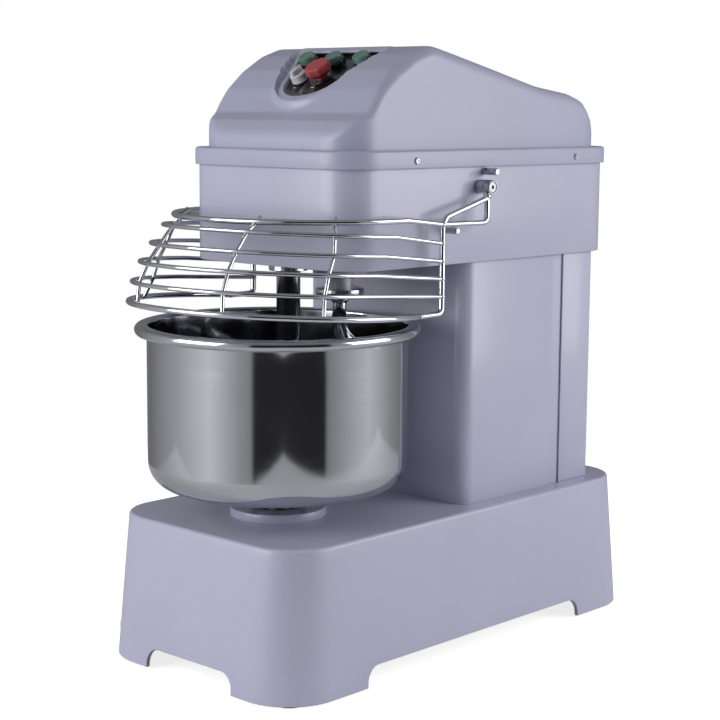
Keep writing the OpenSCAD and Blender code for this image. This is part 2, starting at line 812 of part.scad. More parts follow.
module drive_belt() {
  color([0.1, 0.1, 0.1]) translate([0, 0, belt_z])
    v_belt_section([0, counter_y], counter_pulley_r, [0, motor_y], motor_pulley_r);
}

module spindle_chain() {
  r = pitch_r(spindle_teeth);
  color([0.4, 0.4, 0.42]) translate([0, 0, spindle_chain_z])
    loop_band([0, counter_y], r, [hook_x, hook_y], r + 0.01, chain_half, chain_w);
}

module bowl_chain() {
  color([0.4, 0.4, 0.42]) translate([0, 0, bowl_chain_z])
    loop_band([0, bowl_y], pitch_r(bowl_teeth), [0, counter_y], pitch_r(pinion_teeth),
      chain_half, chain_w);
}

module counter_shaft() {
  shoulder_z = bowl_chain_z + 10;
  color([0.7, 0.7, 0.72]) translate([0, counter_y, 0]) {
    translate([0, 0, shoulder_z]) cylinder(r = counter_r - fit_gap, h = counter_top_z - shoulder_z);
    translate([0, 0, counter_bottom_z]) cylinder(r = pinion_bore, h = 30);
  }
}

module counter_pulley() {
  color([0.42, 0.43, 0.45]) translate([0, counter_y, belt_z])
    v_pulley(counter_pulley_r, counter_r - 2 * fit_gap);
}

module counter_sprocket() {
  color([0.42, 0.43, 0.45]) translate([0, counter_y, spindle_chain_z])
    sprocket(spindle_teeth, counter_r - 2 * fit_gap, counter_r + 8, 10);
}

module counter_pinion() {
  color([0.42, 0.43, 0.45]) translate([0, counter_y, bowl_chain_z])
    sprocket(pinion_teeth, pinion_bore - fit_gap, pinion_bore, 0);
}

module motor_shaft() {
  color([0.7, 0.7, 0.72]) translate([0, motor_y, motor_top_z - motor_len + 6])
    cylinder(r = counter_r - fit_gap, h = motor_len - 6 + belt_z - motor_top_z + 14);
}

module motor_pulley() {
  color([0.42, 0.43, 0.45]) translate([0, motor_y, belt_z])
    v_pulley(motor_pulley_r, counter_r - 2 * fit_gap);
}

// ---------------------------------------------------------------- bowl

module bowl_outline(inset) {
  r = bowl_corner_r - inset;
  wall = bowl_r - inset;
  floor_z = bowl_z + inset;
  translate([0, floor_z]) square([wall - r, r]);
  translate([0, floor_z + r]) square([wall, rim_z - floor_z - r - 1 + inset]);
  translate([wall - r, floor_z + r]) circle(r);
}

module bowl() {
  color([0.75, 0.76, 0.78]) translate([0, bowl_y, 0]) difference() {
    rotate_extrude($fn = 128) {
      difference() {
        bowl_outline(0);
        bowl_outline(bowl_wall);
      }
      translate([bowl_r - bowl_wall, rim_z - 1 - bowl_wall])
        square([rim_gap + rim_d / 2 + bowl_wall, bowl_wall]);
      translate([bowl_r + rim_gap + rim_d / 2, rim_z - rim_d / 2]) difference() {
        circle(rim_d / 2);
        circle(rim_d / 2 - bowl_wall);
      }
    }
    for (a = [45 : 90 : 315]) rotate(a) translate([hub_bolt_ring, 0, bowl_z - 1])
      cylinder(r = 3 + bolt_gap, h = bowl_wall + 2);
  }
}

hub_bolt_ring = 29;
hub_z = base_h + ring_t + 3;

module bowl_hub() {
  color([0.2, 0.2, 0.22]) translate([0, bowl_y, 0]) difference() {
    translate([0, 0, hub_z]) cylinder(r = hub_r, h = bowl_z - hub_z);
    translate([0, 0, hub_z - 1]) cylinder(r = shaft_r, h = bowl_z - hub_z - 3);
    for (a = [45 : 90 : 315]) rotate(a) translate([hub_bolt_ring, 0, bowl_z - 12])
      cylinder(r = 3, h = 20);
  }
}

module bowl_shaft() {
  top = bowl_z - 4;
  color([0.7, 0.7, 0.72]) translate([0, bowl_y, bowl_chain_z - 14])
    cylinder(r = shaft_r - fit_gap, h = top - bowl_chain_z + 14);
}

module bowl_sprocket() {
  color([0.42, 0.43, 0.45]) translate([0, bowl_y, bowl_chain_z])
    sprocket(bowl_teeth, shaft_r - 2 * fit_gap, shaft_r + 12, 10);
}

// ---------------------------------------------------------------- hook and bar

hook_bottom_z = bowl_floor_z + hook_floor_gap + hook_r;
hook_top_z = disc_z + 4;
hook_turns = 1.3;
hook_rings = 44;
hook_sides = 12;
hook_start = 215;

// Centre line of the hook: straight down from the disc, then a widening spiral
function hook_point(t) =
  let (grow = min(1, max(0, (t - 0.06) / 0.45)),
       r = spiral_r * grow * grow * (3 - 2 * grow),
       a = hook_start - 360 * hook_turns * t)
  [hook_x + r * cos(a), hook_y + r * sin(a),
   hook_top_z + (hook_bottom_z - hook_top_z) * (t + 0.05 * sin(360 * t))];

// Points round the rod at one place on its centre line
function hook_ring(t) =
  let (d = hook_point(t + 0.002) - hook_point(t - 0.002),
       along = d / norm(d),
       side = cross(along, [0, 0, 1]) == [0, 0, 0] ? [1, 0, 0] : cross(along, [0.03, 0.02, 1]),
       u = side / norm(side),
       v = cross(along, u))
  [for (i = [0 : hook_sides - 1])
    hook_point(t) + hook_r * (u * cos(360 * i / hook_sides) + v * sin(360 * i / hook_sides))];

module spiral_hook() {
  rings = [for (k = [0 : hook_rings]) each hook_ring(k / hook_rings)];
  last = hook_rings * hook_sides;
  color([0.72, 0.73, 0.75]) polyhedron(rings, concat(
    [[for (i = [0 : hook_sides - 1]) i]],
    [for (k = [0 : hook_rings - 1], i = [0 : hook_sides - 1])
      let (a = k * hook_sides + i, b = k * hook_sides + (i + 1) % hook_sides)
      each [[a, a + hook_sides, b + hook_sides], [a, b + hook_sides, b]]],
    [[for (i = [hook_sides - 1 : -1 : 0]) last + i]]));
}

disc_boss_r = 15;
disc_boss_h = 8;
disc_head_r = 7;

module hook_disc() {
  color([0.7, 0.71, 0.73]) translate([hook_x, hook_y, 0]) difference() {
    union() {
      translate([0, 0, disc_z]) cylinder(r = disc_r, h = disc_t);
      translate([0, 0, disc_z - disc_boss_h]) cylinder(r = disc_boss_r, h = disc_boss_h + eps);
      for (a = [30 : 120 : 270]) rotate(a) translate([disc_r - disc_head_r - 3, 0, disc_z - 6])
        cylinder(r = disc_head_r, h = 6 + eps, $fn = 6);
    }
    translate([0, 0, disc_z - 9]) cylinder(r = hook_r + 1, h = 9 + 4);
  }
}

module spindle_shaft() {
  bottom = disc_z + disc_t;
  color([0.7, 0.7, 0.72]) translate([hook_x, hook_y, bottom])
    cylinder(r = shaft_r - fit_gap, h = spindle_top_z - bottom);
}

module spindle_sprocket() {
  color([0.42, 0.43, 0.45]) translate([hook_x, hook_y, spindle_chain_z])
    sprocket(spindle_teeth, shaft_r - 2 * fit_gap, shaft_r + 8, 10);
}

bar_flange_r = 27;
bar_flange_t = 8;

module breaker_bar() {
  color([0.74, 0.75, 0.77]) translate([bar_x, bar_y, 0]) {
    translate([0, 0, bowl_floor_z + hook_floor_gap])
      cylinder(r = bar_r, h = head_z - bowl_floor_z - hook_floor_gap);
    translate([0, 0, head_z - bar_flange_t]) cylinder(r = bar_flange_r, h = bar_flange_t);
    translate([0, 0, head_z - 1]) cylinder(r = 8, h = floor_plate_t + 25);
  }
}

module breaker_bar_nut() {
  color([0.7, 0.7, 0.72]) translate([bar_x, bar_y, plate_z]) difference() {
    union() {
      cylinder(r = 16, h = 3);
      translate([0, 0, 3 - eps]) cylinder(r = 14, h = 13, $fn = 6);
    }
    translate([0, 0, -1]) cylinder(r = 8, h = 30);
  }
}

// ---------------------------------------------------------------- guard

guard_half = half_head + guard_side_gap;
pivot_y = mid_y + 18;
pivot_z = lip_z - 28;
pivot_bolt_r = 4;
boss_r = 10;
boss_x0 = half_head + 1;
boss_x1 = guard_half + frame_wire_r;
stop_pin_r = 5;
stop_pin_y = pivot_y + 10;
stop_pin_z = pivot_z + 21;
pin_reach = guard_side_gap + 3;
guard_end_y = mid_y - 84;
top_wire_z = head_z + 66;
arm_z = top_wire_z - 9.5;
rest_pin_r = 4.5;
rest_pin_y = mid_y - 55;
rest_pin_z = arm_z - frame_wire_r - rest_pin_r - 0.1;
bottom_ring_z = head_z - 58;

// The rings below the top wire: how far each lies below it and how much further forward
ring_drop = [21, 45, 69, 95];
ring_lead = [20, 42, 62, 76];
ring_slope = 3.3;
ring_end_drop = [26, 50, 74, 98];
top_arc_y = bowl_y + 58;

function arc_y(i) = i < 0 ? top_arc_y : top_arc_y - ring_lead[i];
function arc_z(i) = i < 0 ? top_wire_z : top_wire_z - ring_drop[i];
function arc_slope(i) = i < 0 ? 0.2 : ring_slope;

// Point inside ring i at a distance x from the middle, one wire's thickness in
function rib_point(i, x) =
  let (r = (i > 3 ? guard_ring_r : guard_half) - 2 * ring_wire_r + 0.4,
       yc = i > 3 ? bowl_y : arc_y(i),
       ahead = sqrt(r * r - x * x),
       z = i > 3 ? bottom_ring_z : arc_z(i))
  [x, yc - ahead * cos(i < 0 ? 0.2 : ring_slope), z + ahead * sin(i < 0 ? 0.2 : ring_slope)];

module at_pivots() {
  for (s = [-1, 1]) translate([s * half_head, pivot_y, pivot_z]) rotate([0, s * 90, 0])
    children();
}

module at_stop_pins() {
  for (s = [-1, 1]) translate([s * half_head, stop_pin_y, stop_pin_z]) rotate([0, s * 90, 0])
    children();
}

module at_rest_pins() {
  for (s = [-1, 1]) translate([s * half_head, rest_pin_y, rest_pin_z]) rotate([0, s * 90, 0])
    children();
}

// Front bow of a ring: an arc that leans up towards its front
module bow(yc, z, ring_r, wire_r, slope, extra) {
  translate([0, yc, z]) rotate([-slope, 0, 0]) rotate([0, 0, 180 - extra])
    rotate_extrude(angle = 180 + 2 * extra, $fn = 96) translate([ring_r, 0]) circle(wire_r);
}

module guard_top_wire() {
  color([0.8, 0.81, 0.83]) {
    bow(top_arc_y, top_wire_z, guard_half, frame_wire_r, 0.2, 0);
    for (s = [-1, 1]) wire([[s * guard_half, top_arc_y, top_wire_z], [s * guard_half, guard_end_y, arm_z + 1.5],
      [s * guard_half, pivot_y - 8, arm_z], [s * guard_half, pivot_y - 8, pivot_z - 8]],
      frame_wire_r);
  }
}

module guard_rings() {
  color([0.8, 0.81, 0.83]) for (i = [0 : 3]) {
    bow(arc_y(i), arc_z(i), guard_half, ring_wire_r, ring_slope, 0);
    for (s = [-1, 1]) wire([[s * guard_half, arc_y(i), arc_z(i)],
      [s * guard_half, guard_end_y, arm_z - ring_end_drop[i] + 2]], ring_wire_r);
  }
}

bottom_extra = asin((guard_end_y - 45 - bowl_y) / guard_ring_r);

module guard_bottom_ring() {
  color([0.8, 0.81, 0.83])
    bow(bowl_y, bottom_ring_z, guard_ring_r, frame_wire_r, ring_slope, bottom_extra);
}

module guard_side_wires() {
  end_z = bottom_ring_z - (guard_end_y - 45 - bowl_y) * sin(ring_slope);
  end_x = guard_ring_r * cos(bottom_extra);
  color([0.8, 0.81, 0.83]) for (s = [-1, 1]) {
    wire([[s * guard_half, pivot_y - 4, pivot_z - 12], [s * guard_half, pivot_y - 8, pivot_z - 15],
      [s * guard_half, guard_end_y + 8, arm_z + 11], [s * guard_half, guard_end_y, arm_z],
      [s * guard_half, guard_end_y, end_z], [s * end_x, guard_end_y - 45, end_z]], frame_wire_r);
  }
}

rib_near = [72, 73, 75, 79, 82, 83];
rib_far = [148, 156, 163, 166, 168, 176];

module guard_ribs() {
  color([0.8, 0.81, 0.83]) for (s = [-1, 1], xs = [rib_near, rib_far])
    wire(concat([let (p = rib_point(-1, xs[0])) [s * (p.x - 4), p.y + 8, p.z + 5]],
      [for (i = [-1 : 4]) let (p = rib_point(i, xs[i + 1])) [s * p.x, p.y, p.z]]),
      ring_wire_r - 0.3);
}

module guard_top_plate() {
  r = guard_half - frame_wire_r - 2 * ring_wire_r + 0.5;
  color([0.72, 0.73, 0.75]) translate([0, top_arc_y, top_wire_z]) linear_extrude(1.5)
    intersection() {
      circle(r, $fn = 128);
      translate([-r, -r - 1]) square([2 * r, r + 1 + plate_back_y - top_arc_y]);
    }
}

plate_back_y = head_y0 - 16;

module guard_bosses() {
  color([0.74, 0.75, 0.77]) for (s = [-1, 1])
    translate([s * boss_x0, pivot_y, pivot_z]) rotate([0, s * 90, 0]) difference() {
      cylinder(r = boss_r, h = boss_x1 - boss_x0);
      translate([0, 0, -1]) cylinder(r = pivot_bolt_r + fit_gap, h = 40);
      translate([0, 0, boss_x1 - boss_x0 - 6]) cylinder(r = 7.5, h = 10);
    }
}

module guard_pivot_bolts() {
  reach = boss_x1 - half_head - 6 + slip_gap;
  color([0.6, 0.6, 0.62]) at_pivots() difference() {
    union() {
      translate([0, 0, -14]) cylinder(r = pivot_bolt_r, h = 14 + reach + eps);
      translate([0, 0, reach]) cylinder(r = 6.8, h = 5);
      translate([0, 0, -head_wall - 7]) cylinder(r = 7.5, h = 7 - slip_gap, $fn = 6);
    }
    translate([0, 0, reach + 2]) cylinder(r = 3.2, h = 5, $fn = 6);
  }
}

module guard_stop_pins() {
  color([0.6, 0.6, 0.62]) at_stop_pins() {
    translate([0, 0, -8]) cylinder(r = stop_pin_r, h = 8 + pin_reach - 1);
    translate([0, 0, pin_reach - 1 - eps]) cylinder(r1 = stop_pin_r, r2 = stop_pin_r - 1, h = 1);
  }
}

module guard_rest_pins() {
  color([0.6, 0.6, 0.62]) at_rest_pins() {
    translate([0, 0, -8]) cylinder(r = rest_pin_r, h = 8 + pin_reach - 1);
    translate([0, 0, pin_reach - 1 - eps]) cylinder(r1 = rest_pin_r, r2 = rest_pin_r - 1, h = 1);
  }
}

module guard_switch() {
  color([0.12, 0.12, 0.13])
    translate([half_head - head_wall - 13, pivot_y + 22, pivot_z - 34]) cube([12, 20, 32]);
}

// ---------------------------------------------------------------- controls

module push_button(x) {
  cap_z = panel_t + button_travel + 0.5;
  color([0.3, 0.48, 0.42]) on_panel(x, button_row, 0) {
    translate([0, 0, cap_z]) cylinder(r = button_r, h = 9);
    translate([0, 0, -block_drop + button_travel + 0.5])
      cylinder(r = stem_r, h = cap_z + block_drop - button_travel);
  }
}

module button_left() { push_button(-button_step); }
module button_middle() { push_button(0); }
module button_right() { push_button(button_step); }

module stop_button() {
  cap_z = panel_t + stop_travel + 1.5;
  color([0.62, 0.2, 0.22]) on_panel(stop_place.x, stop_place.y, 0) {
    translate([0, 0, cap_z]) cylinder(r1 = stop_r - 5, r2 = stop_r, h = 6);
    translate([0, 0, cap_z + 6 - eps]) cylinder(r1 = stop_r, r2 = stop_r - 3, h = 10);
    translate([0, 0, -block_drop + stop_travel + 0.5])
      cylinder(r = stem_r, h = cap_z + block_drop - stop_travel);
  }
}

module selector_knob() {
  color([0.78, 0.78, 0.8]) on_panel(selector_place.x, selector_place.y, 0) {
    translate([0, 0, panel_t + 0.6]) cylinder(r = selector_r, h = 12);
    translate([-4, -selector_r + 1, panel_t + 12]) cube([8, 2 * selector_r - 2, 8]);
    translate([0, 0, -block_drop + 0.5]) cylinder(r = knob_shaft_r, h = block_drop + panel_t + 1);
  }
}

base_shell();
rubber_feet();
foot_bolts();
column_shell();
column_posts();
column_bolts();
rear_cover();
rear_cover_screws();
cable_gland();
head_shell();
head_floor_plate();
head_bolts();
top_cover();
cover_screws();
control_panel();
switch_blocks();
control_box();
hub_housing();
hub_bearings();
spindle_housing();
spindle_bearings();
counter_housings();
counter_bearings();
motor_housing();
motor_bracket();
drive_belt();
spindle_chain();
bowl_chain();
breaker_bar();
breaker_bar_nut();
guard_pivot_bolts();
guard_stop_pins();
guard_rest_pins();
guard_switch();
bowl();
bowl_hub();
bowl_shaft();
bowl_sprocket();
spiral_hook();
hook_disc();
spindle_shaft();
spindle_sprocket();
counter_shaft();
counter_pulley();
counter_sprocket();
counter_pinion();
motor_shaft();
motor_pulley();
guard_top_wire();
guard_rings();
guard_bottom_ring();
guard_ribs();
guard_side_wires();
guard_top_plate();
guard_bosses();
button_left();
button_middle();
button_right();
stop_button();
selector_knob();
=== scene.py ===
"""Finished surfaces of a spiral dough mixer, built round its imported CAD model.

The CAD model holds the sizes, the fits and the motion.  This file adds the looks:
the enamelled casings, the spun bowl, the polished mixing tools, the chromed wire
guard and the controls.  Lengths are millimetres until a piece is made.
"""

from __future__ import annotations

import logging
import math
from dataclasses import dataclass
from enum import Enum
from typing import Callable, Sequence

import bmesh
import bpy
import numpy as np
from mathutils import Matrix, Vector

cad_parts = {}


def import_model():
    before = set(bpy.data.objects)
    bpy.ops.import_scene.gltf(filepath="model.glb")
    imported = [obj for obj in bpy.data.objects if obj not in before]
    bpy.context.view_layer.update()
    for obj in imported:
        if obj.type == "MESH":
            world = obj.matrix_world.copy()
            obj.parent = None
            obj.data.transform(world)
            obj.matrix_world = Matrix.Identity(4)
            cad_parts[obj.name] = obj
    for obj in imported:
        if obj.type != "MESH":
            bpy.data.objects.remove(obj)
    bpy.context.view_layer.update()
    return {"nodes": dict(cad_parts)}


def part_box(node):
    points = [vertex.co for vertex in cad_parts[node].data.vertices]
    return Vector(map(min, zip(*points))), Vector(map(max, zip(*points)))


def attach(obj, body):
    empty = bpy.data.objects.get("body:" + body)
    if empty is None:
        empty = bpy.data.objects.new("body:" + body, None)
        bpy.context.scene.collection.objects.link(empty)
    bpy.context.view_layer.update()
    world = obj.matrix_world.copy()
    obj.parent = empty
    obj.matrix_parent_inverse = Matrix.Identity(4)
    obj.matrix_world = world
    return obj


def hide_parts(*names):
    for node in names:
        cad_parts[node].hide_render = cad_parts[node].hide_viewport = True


LOG = logging.getLogger("dough_mixer")
METRES = 0.001

Point2 = tuple[float, float]
Colour = tuple[int, int, int]


# ------------------------------------------------------------------ finishes


class Grain(Enum):
    """The small relief and colour change that a surface shows."""

    PEEL = "the soft orange peel of sprayed enamel"
    SPUN = "rings left by a lathe round an upright axis"
    DRAWN = "fine streaks along drawn wire and bar"
    CAST = "the pitted skin of a casting"
    FINE = "the even matt of moulded plastic"


def linear(colour: Colour) -> tuple[float, float, float, float]:
    """Turns a display colour into the shader's linear colour.

    Args:
        colour: Red, green and blue, each from 0 to 255.

    Returns:
        Red, green, blue and alpha, each from 0 to 1.
    """
    values = [c / 255 for c in colour]
    light = [v / 12.92 if v < 0.04045 else ((v + 0.055) / 1.055) ** 2.4 for v in values]
    return light[0], light[1], light[2], 1.0


@dataclass(frozen=True)
class Finish:
    """One surface finish, with its colour, its gloss and its relief."""

    name: str
    slot: str
    colour: Colour
    grain: Grain
    metallic: float = 0.0
    roughness: float = 0.4
    spread: float = 0.06
    mottle: float = 0.05
    grain_size: float = 0.002
    relief: float = 0.00002
    coat: float = 0.0
    coat_roughness: float = 0.08
    axis_x: float = 0.0
    axis_y: float = 0.0

    def material(self) -> bpy.types.Material:
        """Returns this finish's material, making it on first use."""
        title = f"{self.name}_finish"
        known = bpy.data.materials.get(title)
        if known:
            return known
        material = bpy.data.materials.new(title)
        material.use_nodes = True
        tree = material.node_tree
        shader = tree.nodes["Principled BSDF"]
        shader.inputs["Metallic"].default_value = self.metallic
        shader.inputs["Coat Weight"].default_value = self.coat
        shader.inputs["Coat Roughness"].default_value = self.coat_roughness
        where = self._where(tree)
        broad = self._noise(tree, where, 9.0, 3.0)
        fine = self._noise(tree, self._stretch(tree, where), 1 / self.grain_size, 4.0)
        self._paint(tree, shader, broad, fine)
        self._gloss(tree, shader, broad, fine)
        self._emboss(tree, shader, fine)
        return material

    def _where(self, tree: bpy.types.NodeTree) -> bpy.types.NodeSocket:
        """Measures the object position from the finish's own axis.

        Args:
            tree: The material's nodes.

        Returns:
            The position.
        """
        place = tree.nodes.new("ShaderNodeTexCoord")
        shift = tree.nodes.new("ShaderNodeVectorMath")
        shift.operation = "SUBTRACT"
        shift.inputs[1].default_value = (self.axis_x, self.axis_y, 0)
        tree.links.new(place.outputs["Object"], shift.inputs[0])
        return shift.outputs[0]

    def _stretch(self, tree: bpy.types.NodeTree,
                 where: bpy.types.NodeSocket) -> bpy.types.NodeSocket:
        """Shapes the grain: rings for spun metal, long streaks for drawn metal.

        Args:
            tree: The material's nodes.
            where: The position to shape.

        Returns:
            The shaped position.
        """
        if self.grain is Grain.SPUN:
            flat = tree.nodes.new("ShaderNodeVectorMath")
            flat.operation = "MULTIPLY"
            flat.inputs[1].default_value = (1, 1, 0)
            length = tree.nodes.new("ShaderNodeVectorMath")
            length.operation = "LENGTH"
            parts = tree.nodes.new("ShaderNodeSeparateXYZ")
            rings = tree.nodes.new("ShaderNodeCombineXYZ")
            tree.links.new(where, flat.inputs[0])
            tree.links.new(flat.outputs[0], length.inputs[0])
            tree.links.new(where, parts.inputs[0])
            tree.links.new(length.outputs["Value"], rings.inputs["X"])
            tree.links.new(parts.outputs["Z"], rings.inputs["Z"])
            return rings.outputs[0]
        if self.grain is Grain.DRAWN:
            scale = tree.nodes.new("ShaderNodeVectorMath")
            scale.operation = "MULTIPLY"
            scale.inputs[1].default_value = (1, 1, 0.08)
            tree.links.new(where, scale.inputs[0])
            return scale.outputs[0]
        return where

    def _noise(self, tree: bpy.types.NodeTree, where: bpy.types.NodeSocket, scale: float,
               detail: float) -> bpy.types.NodeSocket:
        """Adds a noise.

        Args:
            tree: The material's nodes.
            where: The position that it is read at.
            scale: How many of its clouds fit in a metre.
            detail: How many finer layers it has.

        Returns:
            The noise's factor.
        """
        noise = tree.nodes.new("ShaderNodeTexNoise")
        noise.inputs["Scale"].default_value = scale
        noise.inputs["Detail"].default_value = detail
        tree.links.new(where, noise.inputs["Vector"])
        return noise.outputs["Fac"]

    def _paint(self, tree: bpy.types.NodeTree, shader: bpy.types.Node, broad: bpy.types.NodeSocket,
               fine: bpy.types.NodeSocket) -> None:
        """Varies the colour a little, over broad clouds and over the grain.

        Args:
            tree: The material's nodes.
            shader: The surface shader.
            broad: The cloud noise.
            fine: The grain noise.
        """
        base = linear(self.colour)
        ramp = tree.nodes.new("ShaderNodeValToRGB")
        ends = ramp.color_ramp.elements
        ends[0].position, ends[1].position = 0.3, 0.7
        ends[0].color = tuple(c * (1 - self.mottle) for c in base[:3]) + (1.0,)
        ends[1].color = tuple(min(1.0, c * (1 + self.mottle)) for c in base[:3]) + (1.0,)
        blend = tree.nodes.new("ShaderNodeMix")
        blend.inputs["Factor"].default_value = 0.35
        tree.links.new(broad, blend.inputs["A"])
        tree.links.new(fine, blend.inputs["B"])
        tree.links.new(blend.outputs["Result"], ramp.inputs["Fac"])
        tree.links.new(ramp.outputs["Color"], shader.inputs["Base Color"])

    def _gloss(self, tree: bpy.types.NodeTree, shader: bpy.types.Node, broad: bpy.types.NodeSocket,
               fine: bpy.types.NodeSocket) -> None:
        """Varies the roughness about its middle value.

        Args:
            tree: The material's nodes.
            shader: The surface shader.
            broad: The cloud noise.
            fine: The grain noise.
        """
        blend = tree.nodes.new("ShaderNodeMix")
        blend.inputs["Factor"].default_value = 0.5
        tree.links.new(broad, blend.inputs["A"])
        tree.links.new(fine, blend.inputs["B"])
        spread = tree.nodes.new("ShaderNodeMapRange")
        spread.inputs["From Min"].default_value = 0.3
        spread.inputs["From Max"].default_value = 0.7
        spread.inputs["To Min"].default_value = max(0.02, self.roughness - self.spread)
        spread.inputs["To Max"].default_value = self.roughness + self.spread
        tree.links.new(blend.outputs["Result"], spread.inputs["Value"])
        tree.links.new(spread.outputs["Result"], shader.inputs["Roughness"])

    def _emboss(self, tree: bpy.types.NodeTree, shader: bpy.types.Node,
                fine: bpy.types.NodeSocket) -> None:
        """Raises the grain as a bump.

        Args:
            tree: The material's nodes.
            shader: The surface shader.
            fine: The grain noise.
        """
        bump = tree.nodes.new("ShaderNodeBump")
        bump.inputs["Distance"].default_value = self.relief
        bump.inputs["Strength"].default_value = 1.0
        tree.links.new(fine, bump.inputs["Height"])
        tree.links.new(bump.outputs["Normal"], shader.inputs["Normal"])


ENAMEL = Finish("enamel", "body_paint", (186, 187, 209), Grain.PEEL, roughness=0.34, spread=0.05,
                mottle=0.03, grain_size=0.0035, relief=0.00003, coat=0.35, coat_roughness=0.15)
MOULDING = Finish("cover_moulding", "cover_moulding", (176, 178, 201), Grain.PEEL, roughness=0.36,
                  spread=0.05, mottle=0.03, grain_size=0.004, relief=0.00003, coat=0.25,
                  coat_roughness=0.2)
BOWL_STEEL = Finish("spun_steel", "polished_steel", (196, 197, 202), Grain.SPUN, metallic=1.0,
                    roughness=0.09, spread=0.04, mottle=0.05, grain_size=0.0011,
                    relief=0.000006, axis_y=-0.193)
TOOL_STEEL = Finish("polished_steel", "polished_steel", (190, 191, 196), Grain.DRAWN, metallic=1.0,
                    roughness=0.14, spread=0.05, mottle=0.06, grain_size=0.0012, relief=0.000006)
CHROME = Finish("chromed_wire", "guard_wire", (212, 213, 220), Grain.DRAWN, metallic=1.0,
                roughness=0.09, spread=0.04, mottle=0.05, grain_size=0.0015, relief=0.000004)
FITTING = Finish("turned_fitting", "guard_fitting", (186, 187, 192), Grain.DRAWN, metallic=1.0,
                 roughness=0.24, spread=0.06, mottle=0.06, grain_size=0.001, relief=0.00001)
ZINC = Finish("zinc_plate", "zinc_fasteners", (176, 177, 180), Grain.CAST, metallic=1.0,
              roughness=0.3, spread=0.08, mottle=0.1, grain_size=0.0012, relief=0.00001)
RUBBER = Finish("rubber", "rubber", (30, 30, 32), Grain.CAST, roughness=0.75, spread=0.1,
                mottle=0.2, grain_size=0.0009, relief=0.00006)
GLOSS_BLACK = Finish("gloss_black", "black_plastic", (22, 22, 25), Grain.FINE, roughness=0.18,
                     spread=0.05, mottle=0.15, grain_size=0.0012, relief=0.000006, coat=0.6)
GREY_STEEL = Finish("grey_steel", "grey_steel", (128, 130, 138), Grain.CAST, metallic=0.7,
                    roughness=0.42, spread=0.1, mottle=0.1, grain_size=0.002, relief=0.00003)
CAST_GREY = Finish("cast_grey", "cast_grey", (150, 151, 166), Grain.CAST, metallic=0.2,
                   roughness=0.5, spread=0.1, mottle=0.1, grain_size=0.0015, relief=0.00008)
BEARING = Finish("ground_steel", "bearing_steel", (170, 171, 174), Grain.SPUN, metallic=1.0,
                 roughness=0.22, spread=0.06, mottle=0.06, grain_size=0.001, relief=0.000006)
DARK_STEEL = Finish("oiled_steel", "dark_steel", (82, 83, 88), Grain.CAST, metallic=0.9,
                    roughness=0.36, spread=0.1, mottle=0.2, grain_size=0.0012, relief=0.00003)
GREEN = Finish("green_cap", "green_plastic", (92, 130, 116), Grain.FINE, roughness=0.3,
               spread=0.05, mottle=0.08, grain_size=0.0008, relief=0.00001, coat=0.4)
RED = Finish("red_cap", "red_plastic", (176, 62, 66), Grain.FINE, roughness=0.34, spread=0.06,
             mottle=0.08, grain_size=0.0008, relief=0.00001, coat=0.3)
IVORY = Finish("pale_knob", "light_plastic", (208, 208, 214), Grain.FINE, roughness=0.36,
               spread=0.06, mottle=0.05, grain_size=0.0008, relief=0.00001, coat=0.3)
SATIN = Finish("satin_steel", "bearing_steel", (205, 206, 212), Grain.SPUN, metallic=0.6,
               roughness=0.45, spread=0.05, mottle=0.05, grain_size=0.001, relief=0.000006)
RUBBER_BELT = Finish("belt_rubber", "rubber", (26, 26, 27), Grain.CAST, roughness=0.6,
                     spread=0.08, mottle=0.15, grain_size=0.0015, relief=0.00005)
PRINT = Finish("white_print", "light_plastic", (225, 226, 228), Grain.FINE, roughness=0.5,
               spread=0.05, mottle=0.03, grain_size=0.0008, relief=0.000005)


# ------------------------------------------------------------------ mesh making


